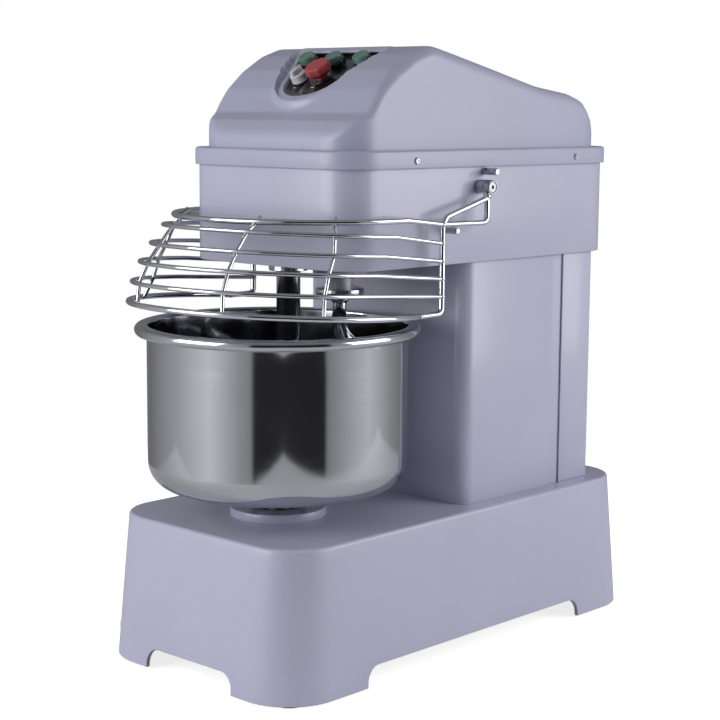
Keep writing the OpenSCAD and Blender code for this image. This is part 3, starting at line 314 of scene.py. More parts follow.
class Shape:
    """A mesh under construction, in millimetres, which later becomes one piece."""

    def __init__(self) -> None:
        """Starts with nothing in it."""
        self.points: list[Vector] = []
        self.faces: list[list[int]] = []

    def add(self, points: Sequence[Vector], faces: Sequence[Sequence[int]]) -> None:
        """Adds points and faces.

        Args:
            points: The new points.
            faces: The new faces, which count from the first new point.
        """
        start = len(self.points)
        self.points.extend(points)
        self.faces.extend([[start + i for i in face] for face in faces])

    def rings(self, rings: Sequence[Sequence[Vector]], closed: bool = False,
              caps: tuple[bool, bool] = (True, True)) -> None:
        """Skins a row of equal rings.

        Args:
            rings: Rings of points, each a closed loop.
            closed: Whether the last ring joins the first.
            caps: Whether the first and the last ring are filled.
        """
        count = len(rings[0])
        steps = len(rings) if closed else len(rings) - 1
        faces: list[list[int]] = []
        for k in range(steps):
            a, b = k * count, (k + 1) % len(rings) * count
            for i in range(count):
                j = (i + 1) % count
                faces.append([a + i, a + j, b + j, b + i])
        if not closed and caps[0]:
            faces.append(list(range(count))[::-1])
        if not closed and caps[1]:
            faces.append([(len(rings) - 1) * count + i for i in range(count)])
        self.add([p for ring in rings for p in ring], faces)

    def lathe(self, profile: Sequence[Point2], place: Matrix, steps: int = 64,
              closed: bool = False) -> None:
        """Turns a profile of radius and height about the Z axis of a place.

        Args:
            profile: Radius and height of each point, in order.
            place: Where the axis stands.
            steps: How many steps make a full turn.
            closed: Whether the profile is a closed loop.
        """
        rings = [
            [place @ Vector((r * math.cos(a), r * math.sin(a), z))
             for a in (math.tau * i / steps for i in range(steps))]
            for r, z in profile
        ]
        self.rings(rings, closed=closed, caps=(profile[0][0] > 0, profile[-1][0] > 0))

    def tube(self, path: Sequence[Vector], radius: float | Callable[[float], float],
             sides: int = 16, closed: bool = False) -> None:
        """Sweeps a round section along a path, without twisting it.

        Args:
            path: Points of the centre line.
            radius: The radius, or a function of the share of the path.
            sides: How many sides the section has.
            closed: Whether the path is a loop.
        """
        count = len(path)
        along = []
        for i in range(count):
            back = path[(i - 1) % count] if closed else path[max(i - 1, 0)]
            ahead = path[(i + 1) % count] if closed else path[min(i + 1, count - 1)]
            along.append((ahead - back).normalized())
        side = along[0].orthogonal().normalized()
        rings = []
        for i, way in enumerate(along):
            side = (side - way * side.dot(way)).normalized()
            up = way.cross(side)
            r = radius(i / (count - 1)) if callable(radius) else radius
            rings.append([path[i] + r * (side * math.cos(a) + up * math.sin(a))
                          for a in (math.tau * k / sides for k in range(sides))])
        self.rings(rings, closed=closed)

    def piece(self, name: str, finish: Finish, body: str, sharp: float = 32.0,
              replaces: Sequence[str] = ()) -> bpy.types.Object:
        """Makes the finished piece and fastens it to its body.

        Args:
            name: The piece's name.
            finish: Its surface finish.
            body: The CAD body that it rides on.
            sharp: Edges that turn by more than this many degrees stay sharp.
            replaces: The CAD nodes that it stands for.

        Returns:
            The new object.
        """
        mesh = bpy.data.meshes.new(name)
        mesh.from_pydata([p * METRES for p in self.points], [], self.faces)
        work = bmesh.new()
        work.from_mesh(mesh)
        bmesh.ops.remove_doubles(work, verts=work.verts, dist=2e-6)
        bmesh.ops.dissolve_degenerate(work, edges=work.edges, dist=1e-6)
        bmesh.ops.recalc_face_normals(work, faces=work.faces)
        work.to_mesh(mesh)
        work.free()
        made = bpy.data.objects.new(name, mesh)
        bpy.context.scene.collection.objects.link(made)
        smooth(mesh, sharp)
        dress(made, finish)
        if body:
            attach(made, body)
            if replaces:
                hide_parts(*replaces)
            LOG.info("%s: %d faces on %s", name, len(mesh.polygons), body)
        return made


def smooth(mesh: bpy.types.Mesh, sharp: float) -> None:
    """Shades a mesh smooth except across edges sharper than an angle in degrees."""
    mesh.shade_smooth()
    mesh.set_sharp_from_angle(angle=math.radians(sharp))


def dress(made: bpy.types.Object, finish: Finish) -> None:
    """Gives an object one finish in its first material slot and no other."""
    made.data.materials.clear()
    made.data.materials.append(finish.material())


def carve(made: bpy.types.Object, cutter: bpy.types.Object) -> None:
    """Cuts one object out of another and deletes the cutter.

    Args:
        made: The object that is cut.
        cutter: The object that cuts it.
    """
    cut = made.modifiers.new("cut", "BOOLEAN")
    cut.operation = "DIFFERENCE"
    cut.solver = "EXACT"
    cut.object = cutter
    graph = bpy.context.evaluated_depsgraph_get()
    cut_mesh = bpy.data.meshes.new_from_object(made.evaluated_get(graph))
    made.modifiers.clear()
    made.data = cut_mesh
    bpy.data.objects.remove(cutter)


def fillet(points: Sequence[Vector], radius: float, steps: int = 6) -> list[Vector]:
    """Rounds the inner corners of an open path.

    Args:
        points: Corners of the path.
        radius: The radius of the bends.
        steps: How many steps each bend takes.

    Returns:
        The rounded path.
    """
    path = [points[0]]
    for before, corner, after in zip(points, points[1:], points[2:]):
        a, b = (before - corner), (after - corner)
        turn = a.angle(b)
        reach = min(radius / math.tan(turn / 2), a.length * 0.48, b.length * 0.48)
        start, end = corner + a.normalized() * reach, corner + b.normalized() * reach
        for k in range(steps + 1):
            t = k / steps
            path.append(start * (1 - t) ** 2 + corner * 2 * t * (1 - t) + end * t**2)
    path.append(points[-1])
    return path


def arc(centre: Vector, radius: float, first: float, last: float, slope: float,
        steps: int = 72) -> list[Vector]:
    """Points of an arc in a plane that leans about the X axis through its centre.

    Args:
        centre: The arc's centre.
        radius: Its radius.
        first: Its first angle from +X, in degrees.
        last: Its last angle.
        slope: How far the plane's front is tilted up, in degrees.
        steps: How many steps it takes.

    Returns:
        The points in order.
    """
    lean = Matrix.Rotation(math.radians(-slope), 3, "X")
    angles = (math.radians(first + (last - first) * i / steps) for i in range(steps + 1))
    return [centre + lean @ Vector((radius * math.cos(a), radius * math.sin(a), 0)) for a in angles]


def round_outline(width: float, length: float, radius: float,
                  corner: int = 12) -> list[Point2]:
    """Outline of a rectangle with round corners, anticlockwise from its right side.

    Args:
        width: Size along X.
        length: Size along Y.
        radius: Corner radius.
        corner: Steps in each corner.

    Returns:
        The outline's points.
    """
    points: list[Point2] = []
    half_x, half_y = width / 2 - radius, length / 2 - radius
    corners = ((half_x, half_y), (-half_x, half_y), (-half_x, -half_y), (half_x, -half_y))
    for number, (cx, cy) in enumerate(corners):
        for step in range(corner + 1):
            a = math.radians(90 * (number + step / corner))
            points.append((cx + radius * math.cos(a), cy + radius * math.sin(a)))
    return points


def extent(node: str) -> tuple[Vector, Vector]:
    """Measures the box of a CAD node.

    Args:
        node: The node's name.

    Returns:
        Its lowest and highest corner, in millimetres.
    """
    low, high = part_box(node)
    return low / METRES, high / METRES


def at(x: float, y: float, z: float) -> Matrix:
    """A place with its Z axis upright."""
    return Matrix.Translation((x, y, z))


def facing_x(x: float, y: float, z: float) -> Matrix:
    """A place on a side wall, with its Z axis pointing away from the middle."""
    return at(x, y, z) @ Matrix.Rotation(math.copysign(math.pi / 2, x), 4, "Y")


# ------------------------------------------------------------------ base


@dataclass
class Base:
    """The cast base: a drafted shell on four feet, with an arch between each two."""

    top_w: float = 368
    top_len: float = 728
    corner_r: float = 78
    top_corner_r: float = 70
    wall: float = 6
    arch_h: float = 31
    side_arch: float = 468
    end_arch: float = 170
    edge_r: float = 4.5
    foot_r: float = 21.3
    foot_boss_r: float = 25
    foot_boss_h: float = 42

    def build(self) -> None:
        """Builds the shell and its foot bosses."""
        low, high = extent("base_shell")
        self.z0, self.z1 = low.z, high.z
        self.floor_w, self.floor_len = high.x - low.x, high.y - low.y
        self.mid_y = (low.y + high.y) / 2
        shell = Shape()
        stations = self._stations()
        outer = [self._ring(stations, share, 0)
                 for share in (0.0, 0.006, 0.05, 0.2, 0.5, 0.8, 0.95)]
        lip = self._ring(stations, 0.0, 1.2, lift=0)
        outer[0] = self._ring(stations, 0.0, 0, lift=1.2)
        top = []
        for step in range(7):
            a = math.radians(90 * step / 6)
            inset = self.edge_r * (1 - math.cos(a))
            z = self.z1 - self.edge_r * (1 - math.sin(a))
            top.append(self._level(stations, z, inset))
        inner = [self._ring(stations, share, self.wall, roof=self.wall)
                 for share in (1.0, 0.6, 0.2, 0.0)]
        shell.rings([inner[0], *inner[1:], lip, *outer, *top])
        feet_low, feet_high = extent("rubber_feet")
        for x in (feet_low.x + self.foot_r, feet_high.x - self.foot_r):
            for y in (feet_low.y + self.foot_r, feet_high.y - self.foot_r):
                boss = [(self.foot_boss_r - 1, 0), (self.foot_boss_r, 1),
                        (self.foot_boss_r, self.foot_boss_h - 2),
                        (self.foot_boss_r - 2, self.foot_boss_h)]
                shell.lathe(boss, at(x, y, self.z0 + 2), 40)
        shell.piece("base_casting", ENAMEL, "root", 38, ["base_shell"])

    def _stations(self) -> list[tuple[float, float, float, float, float]]:
        """Lists the stations round the base.

        Returns:
            For each station its shares of the straight sides along X and Y, the X and Y
            of its outward direction, and the height of the arch there.
        """
        out: list[tuple[float, float, float, float, float]] = []
        half_side = self.floor_len / 2 - self.corner_r
        half_end = self.floor_w / 2 - self.corner_r
        for sx, sy, first in ((1, 1, 0), (-1, 1, 90), (-1, -1, 180), (1, -1, 270)):
            for step in range(25):
                a = math.radians(first + 90 * step / 24)
                out.append((sx, sy, math.cos(a), math.sin(a), 0.0))
            across = first in (0, 180)
            half, arch = (half_end, self.end_arch) if across else (half_side, self.side_arch)
            way = sx if across else sy
            for place in self._along(half, arch):
                x, y = (way * -place / half, sy) if across else (sx, way * -place / half)
                a = math.radians(first + 90)
                out.append((x, y, math.cos(a), math.sin(a), self._arch(place, arch)))
        return out

    def _along(self, half: float, arch: float) -> list[float]:
        """Spaces places along a side, dense at the shoulders of its arch.

        Args:
            half: Half the side's length.
            arch: The arch's width.

        Returns:
            The places, measured from the side's middle.
        """
        r = 0.7 * self.arch_h
        edge = arch / 2
        near = [edge + 0.25, edge - 0.25]
        shoulder = [edge - r * (1 - math.cos(math.radians(a))) for a in (20, 35, 50, 65, 80, 90)]
        middle = [edge - r - (edge - r) * k / 6 for k in range(1, 7)]
        right = [(half + edge) / 2, *near, *shoulder, *middle]
        places = sorted({round(p, 3) for p in right} | {round(-p, 3) for p in right})
        return [-p for p in reversed(places) if abs(p) < half]

    def _arch(self, place: float, arch: float) -> float:
        """Finds the height of the arch's edge.

        Args:
            place: The place along the side, from its middle.
            arch: The arch's width.

        Returns:
            The height above the base's lower edge.
        """
        r = 0.7 * self.arch_h
        depth = arch / 2 - abs(place)
        if depth <= 0:
            return 0.0
        if depth >= r:
            return self.arch_h - self.z0
        return self.arch_h - self.z0 - r + math.sqrt(r * r - (r - depth) ** 2)

    def _level(self, stations: Sequence[tuple[float, ...]], z: float, inset: float) -> list[Vector]:
        """Returns the drafted outline at one height, moved inwards."""
        return [self._spot(s, z, inset) for s in stations]

    def _spot(self, station: Sequence[float], z: float, inset: float) -> Vector:
        """Finds one point of the drafted wall.

        Args:
            station: The station that it belongs to.
            z: Its height.
            inset: How far inside the outer face it lies.

        Returns:
            The point.
        """
        sx, sy, nx, ny, _ = station
        share = (z - self.z0) / (self.z1 - self.z0)
        half_w = (self.floor_w + (self.top_w - self.floor_w) * share) / 2
        half_l = (self.floor_len + (self.top_len - self.floor_len) * share) / 2
        r = self.corner_r + (self.top_corner_r - self.corner_r) * share
        return Vector((sx * (half_w - r) + (r - inset) * nx,
                       self.mid_y + sy * (half_l - r) + (r - inset) * ny, z))

    def _ring(self, stations: Sequence[tuple[float, ...]], share: float, inset: float,
              lift: float = 0.0, roof: float = 0.0) -> list[Vector]:
        """Makes a ring at a share of the way from the arched edge to the top.

        Args:
            stations: The stations round the base.
            share: The share, from the edge at 0 to the top at 1.
            inset: How far inside the outer face it lies.
            lift: How far its lower end is above the edge.
            roof: The thickness of the roof that it ends under.

        Returns:
            The ring's points.
        """
        points = []
        for station in stations:
            low = self.z0 + station[4] + lift
            high = self.z1 - roof - (0 if roof else self.edge_r)
            points.append(self._spot(station, low + (high - low) * share, inset))
        return points


# ------------------------------------------------------------------ sheet-metal casings


@dataclass
class Casings:
    """The column, its rear cover and the head's box: bent sheet with soft edges."""

    column_r: float = 22
    rear_r: float = 8
    head_r: float = 56
    sheet: float = 3
    seam_depth: float = 3
    seam_setback: float = 24
    edge: float = 0.9
    vent_w: float = 100
    vent_h: float = 5
    vent_pitch: float = 14
    vent_first: float = 132.2
    vents: int = 6

    def build(self) -> None:
        """Builds the three casings."""
        self._column()
        self._rear_cover()
        self._head()

    def wall(self, path: Sequence[Point2], z0: float, z1: float, closed: bool = False,
             soft: float | None = None) -> Shape:
        """A sheet wall along a plan path, with rounded edges.

        Args:
            path: The outer face's plan, with the wall on the left of its way.
            z0: The wall's lower edge.
            z1: Its upper edge.
            closed: Whether the path is a loop.
            soft: The radius of the edges.

        Returns:
            The wall.
        """
        e = self.edge if soft is None else soft
        flat = [Vector((x, y)) for x, y in path]
        count = len(flat)
        rings = []
        for i, point in enumerate(flat):
            back = flat[i - 1] if closed or i else point
            ahead = flat[(i + 1) % count] if closed or i < count - 1 else point
            way = (ahead - back).normalized()
            inward = Vector((-way.y, way.x))
            section = [(0, z0 + e), (0.3 * e, z0 + 0.3 * e), (e, z0), (self.sheet - 0.3, z0),
                       (self.sheet, z0 + 0.3), (self.sheet, z1 - 0.3), (self.sheet - 0.3, z1),
                       (e, z1), (0.3 * e, z1 - 0.3 * e), (0, z1 - e)]
            rings.append([Vector((point.x + inward.x * d, point.y + inward.y * d, z))
                          for d, z in section])
        made = Shape()
        made.rings(rings, closed=closed)
        return made

    def _plan(self, low: Vector, high: Vector, r: float) -> list[Point2]:
        """Draws the outline of a casing, anticlockwise.

        Args:
            low: The lowest corner of its box.
            high: The highest corner.
            r: The radius of its corners.

        Returns:
            The outline.
        """
        mid_x, mid_y = (low.x + high.x) / 2, (low.y + high.y) / 2
        outline = round_outline(high.x - low.x, high.y - low.y, r, 14)
        return [(mid_x + x, mid_y + y) for x, y in outline]

    def _column(self) -> None:
        """The column's front, which steps in to a recessed seam at the back."""
        low, high = extent("column_shell")
        cover_low, _ = extent("rear_cover")
        seam = cover_low.y - self.seam_setback
        x1, inner = high.x, high.x - self.seam_depth
        step = [(inner, seam + 0.6), (inner + 0.4, seam + 0.2), (x1 - 1.0, seam),
                (x1 - 0.3, seam - 0.4), (x1, seam - 1.3)]
        path = [(-inner, high.y), *[(-x, y) for x, y in step]]
        path += self._front_run(low, x1)
        path += [*reversed(step), (inner, high.y)]
        self.wall(path, low.z, high.z).piece(
            "column_casing", ENAMEL, "root", 40, ["column_shell"])

    def _front_run(self, low: Vector, x1: float) -> list[Point2]:
        """Draws the column's left side, front corners and right side.

        Args:
            low: The lowest corner of the column's box.
            x1: Half the column's width.

        Returns:
            The run of points.
        """
        r = self.column_r
        run: list[Point2] = []
        for step in range(15):
            a = math.radians(180 + 90 * step / 14)
            run.append((-x1 + r + r * math.cos(a), low.y + r + r * math.sin(a)))
        for step in range(15):
            a = math.radians(270 + 90 * step / 14)
            run.append((x1 - r + r * math.cos(a), low.y + r + r * math.sin(a)))
        return run

    def _rear_cover(self) -> None:
        """The removable rear cover with its vent slots."""
        low, high = extent("rear_cover")
        r = self.rear_r
        path: list[Point2] = [(high.x - 1.2, low.y), (high.x - 0.4, low.y + 0.4),
                              (high.x, low.y + 1.4)]
        for first, cx in ((0, high.x - r), (90, low.x + r)):
            for step in range(15):
                a = math.radians(first + 90 * step / 14)
                path.append((cx + r * math.cos(a), high.y - r + r * math.sin(a)))
        path += [(low.x, low.y + 1.4), (low.x + 0.4, low.y + 0.4), (low.x + 1.2, low.y)]
        cover = self.wall(path, low.z, high.z).piece(
            "rear_cover_casing", ENAMEL, "root", 40, ["rear_cover"])
        for number in range(self.vents):
            z = low.z + self.vent_first + self.vent_pitch * number
            carve(cover, self._vent(high.y, z).piece("slot", ENAMEL, ""))
        smooth(cover.data, 40)

    def _vent(self, back: float, z: float) -> Shape:
        """The cutter of one vent slot, which flares at the outer face.

        Args:
            back: Where the cover's outer face is.
            z: The slot's height.

        Returns:
            The cutter.
        """
        half_w, half_h = self.vent_w / 2, self.vent_h / 2
        outline = round_outline(self.vent_w, self.vent_h, half_h - 0.02, 8)
        rings = []
        for depth, grow in ((-8.0, 0.0), (-0.6, 0.0), (0.2, 0.7), (3.0, 0.7)):
            wide, tall = 1 + grow / half_w, 1 + grow / half_h
            rings.append([Vector((x * wide, back + depth, z + y * tall)) for x, y in outline])
        made = Shape()
        made.rings(rings)
        return made

    def _head(self) -> None:
        """The head's box under the top cover."""
        low, high = extent("head_shell")
        path = self._plan(low, high, self.head_r)
        self.wall(path, low.z, high.z, closed=True, soft=1.2).piece(
            "head_casing", ENAMEL, "root", 40, ["head_shell"])


# ------------------------------------------------------------------ top cover


def soft_max(a: np.ndarray, b: np.ndarray, r: float) -> np.ndarray:
    """The larger of two distances, with an outer edge rounded to a radius."""
    return np.minimum(-r, np.maximum(a, b)) + np.hypot(np.maximum(a + r, 0), np.maximum(b + r, 0))


def soft_min(a: np.ndarray, b: np.ndarray, r: float) -> np.ndarray:
    """The smaller of two distances, with an inner corner filled to a radius."""
    return -soft_max(-a, -b, r)


def outline_distance(points: Sequence[Point2], x: np.ndarray, y: np.ndarray) -> np.ndarray:
    """Signed distance to a closed outline, negative inside.

    Args:
        points: The outline's corners.
        x: First coordinate of each place.
        y: Second coordinate of each place.

    Returns:
        The distance of each place.
    """
    best = np.full(x.shape, 1e9)
    inside = np.zeros(x.shape, bool)
    for (ax, ay), (bx, by) in zip(points, [*points[1:], points[0]]):
        ex, ey = bx - ax, by - ay
        t = np.clip(((x - ax) * ex + (y - ay) * ey) / (ex * ex + ey * ey + 1e-12), 0, 1)
        best = np.minimum(best, np.hypot(x - ax - t * ex, y - ay - t * ey))
        crosses = (ay > y) != (by > y)
        with np.errstate(divide="ignore", invalid="ignore"):
            cut = x < (bx - ax) * (y - ay) / (by - ay) + ax
        inside ^= crosses & cut
    return np.where(inside, -best, best)


def fillet_outline(points: Sequence[tuple[float, float, float]], steps: int = 6) -> list[Point2]:
    """Rounds the corners of a closed outline, each with its own radius.

    Args:
        points: First and second coordinate and corner radius of each corner.
        steps: How many steps each corner takes.

    Returns:
        The rounded outline.
    """
    out: list[Point2] = []
    count = len(points)
    for i, (x, y, r) in enumerate(points):
        corner = Vector((x, y))
        a = Vector(points[i - 1][:2]) - corner
        b = Vector(points[(i + 1) % count][:2]) - corner
        if r <= 0:
            out.append((x, y))
            continue
        reach = min(r / math.tan(a.angle(b) / 2), a.length * 0.49, b.length * 0.49)
        start, end = corner + a.normalized() * reach, corner + b.normalized() * reach
        for k in range(steps + 1):
            t = k / steps
            p = start * (1 - t) ** 2 + corner * 2 * t * (1 - t) + end * t**2
            out.append((p.x, p.y))
    return out


@dataclass
class Panel:
    """The leaning plane of the controls, with its shield outline."""

    tilt: float = 34
    y: float = -109.2
    z: float = 805
    half_w: float = 76
    half_l: float = 55
    tip_r: float = 50
    mouth: float = 9.5

    def place(self, x: float = 0, y: float = 0, z: float = 0) -> Matrix:
        """A place on the panel: x across, y up the slope and z out of it."""
        lean = Matrix.Rotation(math.radians(self.tilt), 4, "X")
        return Matrix.Translation((0, self.y, self.z)) @ lean @ Matrix.Translation((x, y, z))

    def outline(self, grow: float = 0.0, corner_r: float = 5.0) -> list[Point2]:
        """The shield outline: wide at the top, round at the bottom.

        Args:
            grow: How far the outline is moved outwards.
            corner_r: Radius of the two upper corners.

        Returns:
            The outline's points.
        """
        tip_y = -self.half_l + self.tip_r
        dx, dy = self.half_w, self.half_l - tip_y
        start = math.atan2(dy, dx) - math.acos(self.tip_r / math.hypot(dx, dy))
        r = self.tip_r + grow
        sweep = math.pi + 2 * start
        slant = math.pi / 2 + start
        low = [(r * math.cos(a), tip_y + r * math.sin(a), 0.0)
               for a in (start - sweep * k / 28 for k in range(29))]
        top = self.half_l + grow
        tangent = Vector((math.cos(slant), math.sin(slant)))
        foot = Vector((low[0][0], low[0][1]))
        reach = (top - foot.y) / tangent.y
        corner_x = foot.x + tangent.x * reach
        corners = [(-corner_x, top, corner_r + grow), (corner_x, top, corner_r + grow)]
        return fillet_outline([*corners, *low])

    def ring(self, grow: float, z: float) -> list[Vector]:
        """The outline as a loop of points, grown and lifted off the panel."""
        return [self.place(x, y, z).translation for x, y in self.outline(grow)]

    def local(self, p: np.ndarray) -> tuple[np.ndarray, np.ndarray, np.ndarray]:
        """Turns places into the panel's own x, y and z.

        Args:
            p: Places, with their coordinates along the last axis.

        Returns:
            Their distances across, up and out of the panel.
        """
        c, s = math.cos(math.radians(self.tilt)), math.sin(math.radians(self.tilt))
        dy, dz = p[..., 1] - self.y, p[..., 2] - self.z
        return p[..., 0], dy * c + dz * s, -dy * s + dz * c


@dataclass
class TopCover:
    """The moulded top cover: a stepped nose, a raised control boss and a long back."""

    panel: Panel
    half_w: float = 154
    corner_r: float = 56
    edge_r: float = 18
    nose_r: float = 7
    wall: float = 3.5
    lip_r: float = 61.5
    lip_h: float = 24
    boss_rim: float = 14
    boss_blend: float = 9
    columns: int = 60
    nose_columns: int = 200
    rows: int = 130

    def build(self) -> None:
        """Builds the lip, the body and the pocket for the controls."""
        low, high = extent("top_cover")
        self.low, self.high = low, high
        self.body_z = low.z + self.lip_h
        self.front, self.back = low.y + 15.5, high.y - 16.5
        self.side = self._side_outline()
        self.shield = self.panel.outline(0, 8)
        self.plan = [(x, (self.front + self.back) / 2 + y) for x, y in round_outline(
            2 * self.half_w, self.back - self.front, self.corner_r, 20)]
        cover = self._body().piece("top_cover_body", MOULDING, "root", 60, ["top_cover"])
        pocket = Shape()
        rings = []
        mouth = self.panel.mouth
        for z, grow in ((-4.0, 0.0), (mouth - 1.2, 0.0), (mouth, 1.2), (60.0, 1.2)):
            rings.append(self.panel.ring(grow, z))
        pocket.rings(rings)
        carve(cover, pocket.piece("pocket", MOULDING, ""))
        smooth(cover.data, 27)
        self._lip().piece("top_cover_lip", MOULDING, "root", 40)

    def _side_outline(self) -> list[Point2]:
        """Draws the side view of the body, from the nose over the crest to the back.

        Returns:
            The outline's points, each with its Y and its Z.
        """
        f, b, z = self.front, self.back, self.body_z
        nose = [(f - 40, z - 80, 0), (f - 40, z - 24, 0), (f + 17, z + 38, 10),
                (f + 36, z + 48, 16), (f + 60, z + 81, 40), (f + 88, z + 107, 40),
                (f + 122, z + 127, 50)]
        crest = [(f + 156, z + 138.5, 40), (f + 172, z + 138.5, 50)]
        slope = [(f + 208, z + 131, 120), (f + 294, z + 112, 200), (f + 400, z + 88, 200)]
        tail = [(b - 84, z + 78, 30), (b - 54, z + 69, 40), (b - 20, z + 41, 40),
                (b - 6, z + 20, 30), (b + 24, z - 80, 0)]
        return fillet_outline([*nose, *crest, *slope, *tail], 8)

    def distance(self, p: np.ndarray) -> np.ndarray:
        """Measures how far places are from the body's outer surface.

        Args:
            p: Places, with their coordinates along the last axis.

        Returns:
            A value like a distance, negative inside.
        """
        side = outline_distance(self.side, p[..., 1], p[..., 2])
        plan = outline_distance(self.plan, p[..., 0], p[..., 1])
        behind = np.clip((p[..., 1] - self.front - 25) / 70, 0, 1)
        body = soft_max(side, plan, self.nose_r + (self.edge_r - self.nose_r) * behind)
        x, y, z = self.panel.local(p)
        shield = outline_distance(self.shield, x, y)
        boss = soft_max(shield - self.boss_rim, z - self.panel.mouth, 5)
        body = soft_min(body, boss, self.boss_blend)
        above = np.maximum(shield - self.boss_rim + 4, self.panel.mouth - z)
        body = soft_max(body, -above, 2)
        return np.maximum(body, p[..., 2] - self.high.z + 0.2)

    def _body(self) -> Shape:
        """Finds the body's surface along rays from a line inside it.

        Returns:
            The body, with its inner skin and its open underside.
        """
        front, back = self.front + 120, self.back - 110
        length = back - front
        along = [k / self.columns for k in range(self.columns)]
        nose = [k / self.nose_columns for k in range(self.nose_columns)]
        runs = [(front + length * t**1.6, 0.0) for t in along]
        runs += [(back, math.pi * t) for t in along]
        runs += [(back - length * (1 - (1 - t) ** 1.6), math.pi) for t in along]
        runs += [(front, math.pi * (1 + t)) for t in nose]
        ways = [way for _, way in runs]
        origins = [(0, y) for y, _ in runs]
        origin = np.array([(x, y, self.body_z) for x, y in origins])
        outer = [self._level(origin, ways, lift / self.rows, 0.0) for lift in range(self.rows + 1)]
        inner = [self._level(origin, ways, lift / self.rows, self.wall)
                 for lift in range(0, self.rows + 1, 2)]
        made = Shape()
        made.rings(outer, caps=(False, False))
        made.rings(inner[::-1], caps=(False, False))
        count = len(ways)
        first_inner = len(made.points) - count
        made.faces.extend([i, (i + 1) % count, first_inner + (i + 1) % count, first_inner + i]
                          for i in range(count))
        return made

    def _level(self, origin: np.ndarray, ways: Sequence[float], share: float,
               depth: float) -> list[Vector]:
        """Finds where rays of one steepness meet the surface.

        Args:
            origin: Where each ray starts.
            ways: Each ray's direction in plan.
            share: The steepness, from level at 0 to upright at 1.
            depth: How far inside the outer surface the rays stop.

        Returns:
            One point for each ray.
        """
        lift = math.pi / 2 * share
        way = np.array([(math.cos(a) * math.cos(lift), math.sin(a) * math.cos(lift), math.sin(lift))
                        for a in ways])
        near, far = np.zeros(len(ways)), np.full(len(ways), 330.0)
        for _ in range(24):
            mid = (near + far) / 2
            outside = self.distance(origin + way * mid[:, None]) > -depth
            far, near = np.where(outside, mid, far), np.where(outside, near, mid)
        return [Vector(p) for p in origin + way * near[:, None]]

    def _lip(self) -> Shape:
        """Makes the lip that hangs over the head's box, and the ledge inside it.

        Returns:
            The lip.
        """
        low, high = self.low, self.high
        mid_y = (low.y + high.y) / 2
        width, length = high.x - low.x, high.y - low.y
        top, bottom = self.body_z, low.z
        section = [(5.2, bottom), (0.8, bottom), (0.2, bottom + 0.3), (0, bottom + 1)]
        section += [(0, top - 4)]
        section += [(4 * (1 - math.cos(math.radians(a))), top - 4 * (1 - math.sin(math.radians(a))))
                    for a in (20, 40, 60, 75, 90)]
        section += [(24, top), (24, top - 3), (5.2, top - 6)]
        rings = []
        for inset, z in section:
            outline = round_outline(width - 2 * inset, length - 2 * inset, self.lip_r - inset, 20)
            rings.append([Vector((x, mid_y + y, z)) for x, y in outline])
        made = Shape()
        made.rings(rings, closed=True)
        return made


# ------------------------------------------------------------------ bowl


@dataclass
class Bowl:
    """The spun bowl with its rolled rim."""

    corner_r: float = 38
    wall: float = 2
    bead_r: float = 7.5
    bead_gap: float = 1.8
    steps: int = 192

    def build(self) -> None:
        """Turns the bowl's profile."""
        low, high = extent("bowl")
        r_out = (high.x - low.x) / 2 - 2 * self.bead_r - self.bead_gap
        r_in, z0, z1 = r_out - self.wall, low.z, high.z
        c = self.corner_r
        bead = Vector((r_out + self.bead_gap + self.bead_r, z1 - self.bead_r))
        outside = [(0.0, z0), (60, z0), (r_out - c, z0)]
        outside += [(r_out - c + c * math.sin(a), z0 + c - c * math.cos(a))
                    for a in (math.radians(90 * k / 16) for k in range(1, 17))]
        outside += [(r_out, z0 + (z1 - z0) * s) for s in (0.4, 0.6, 0.8)]
        outside += [(r_out, z1 - 12.5), (r_out + 0.4, z1 - 10.6)]
        outside += [(bead.x + self.bead_r * math.cos(a), bead.y + self.bead_r * math.sin(a))
                    for a in (math.radians(200 + 250 * k / 22) for k in range(23))]
        inside = [(bead.x - self.bead_r * 0.75, z1 - 0.5), (r_in + 1.2, z1 - 1.2),
                  (r_in + 0.3, z1 - 2.4), (r_in, z1 - 5)]
        inside += [(r_in, z0 + (z1 - z0) * s) for s in (0.8, 0.6, 0.4)]
        ci = c - self.wall
        inside += [(r_in - ci + ci * math.sin(a), z0 + self.wall + ci - ci * math.cos(a))
                   for a in (math.radians(90 * k / 16) for k in range(16, 0, -1))]
        inside += [(r_in - ci, z0 + self.wall), (60, z0 + self.wall), (0.0, z0 + self.wall)]
        made = Shape()
        centre = (low + high) / 2
        made.lathe([*outside, *inside], at(centre.x, centre.y, 0), self.steps)
        made.piece("spun_bowl", BOWL_STEEL, "bowl_unit", 34, ["bowl"])


# ------------------------------------------------------------------ mixing tools


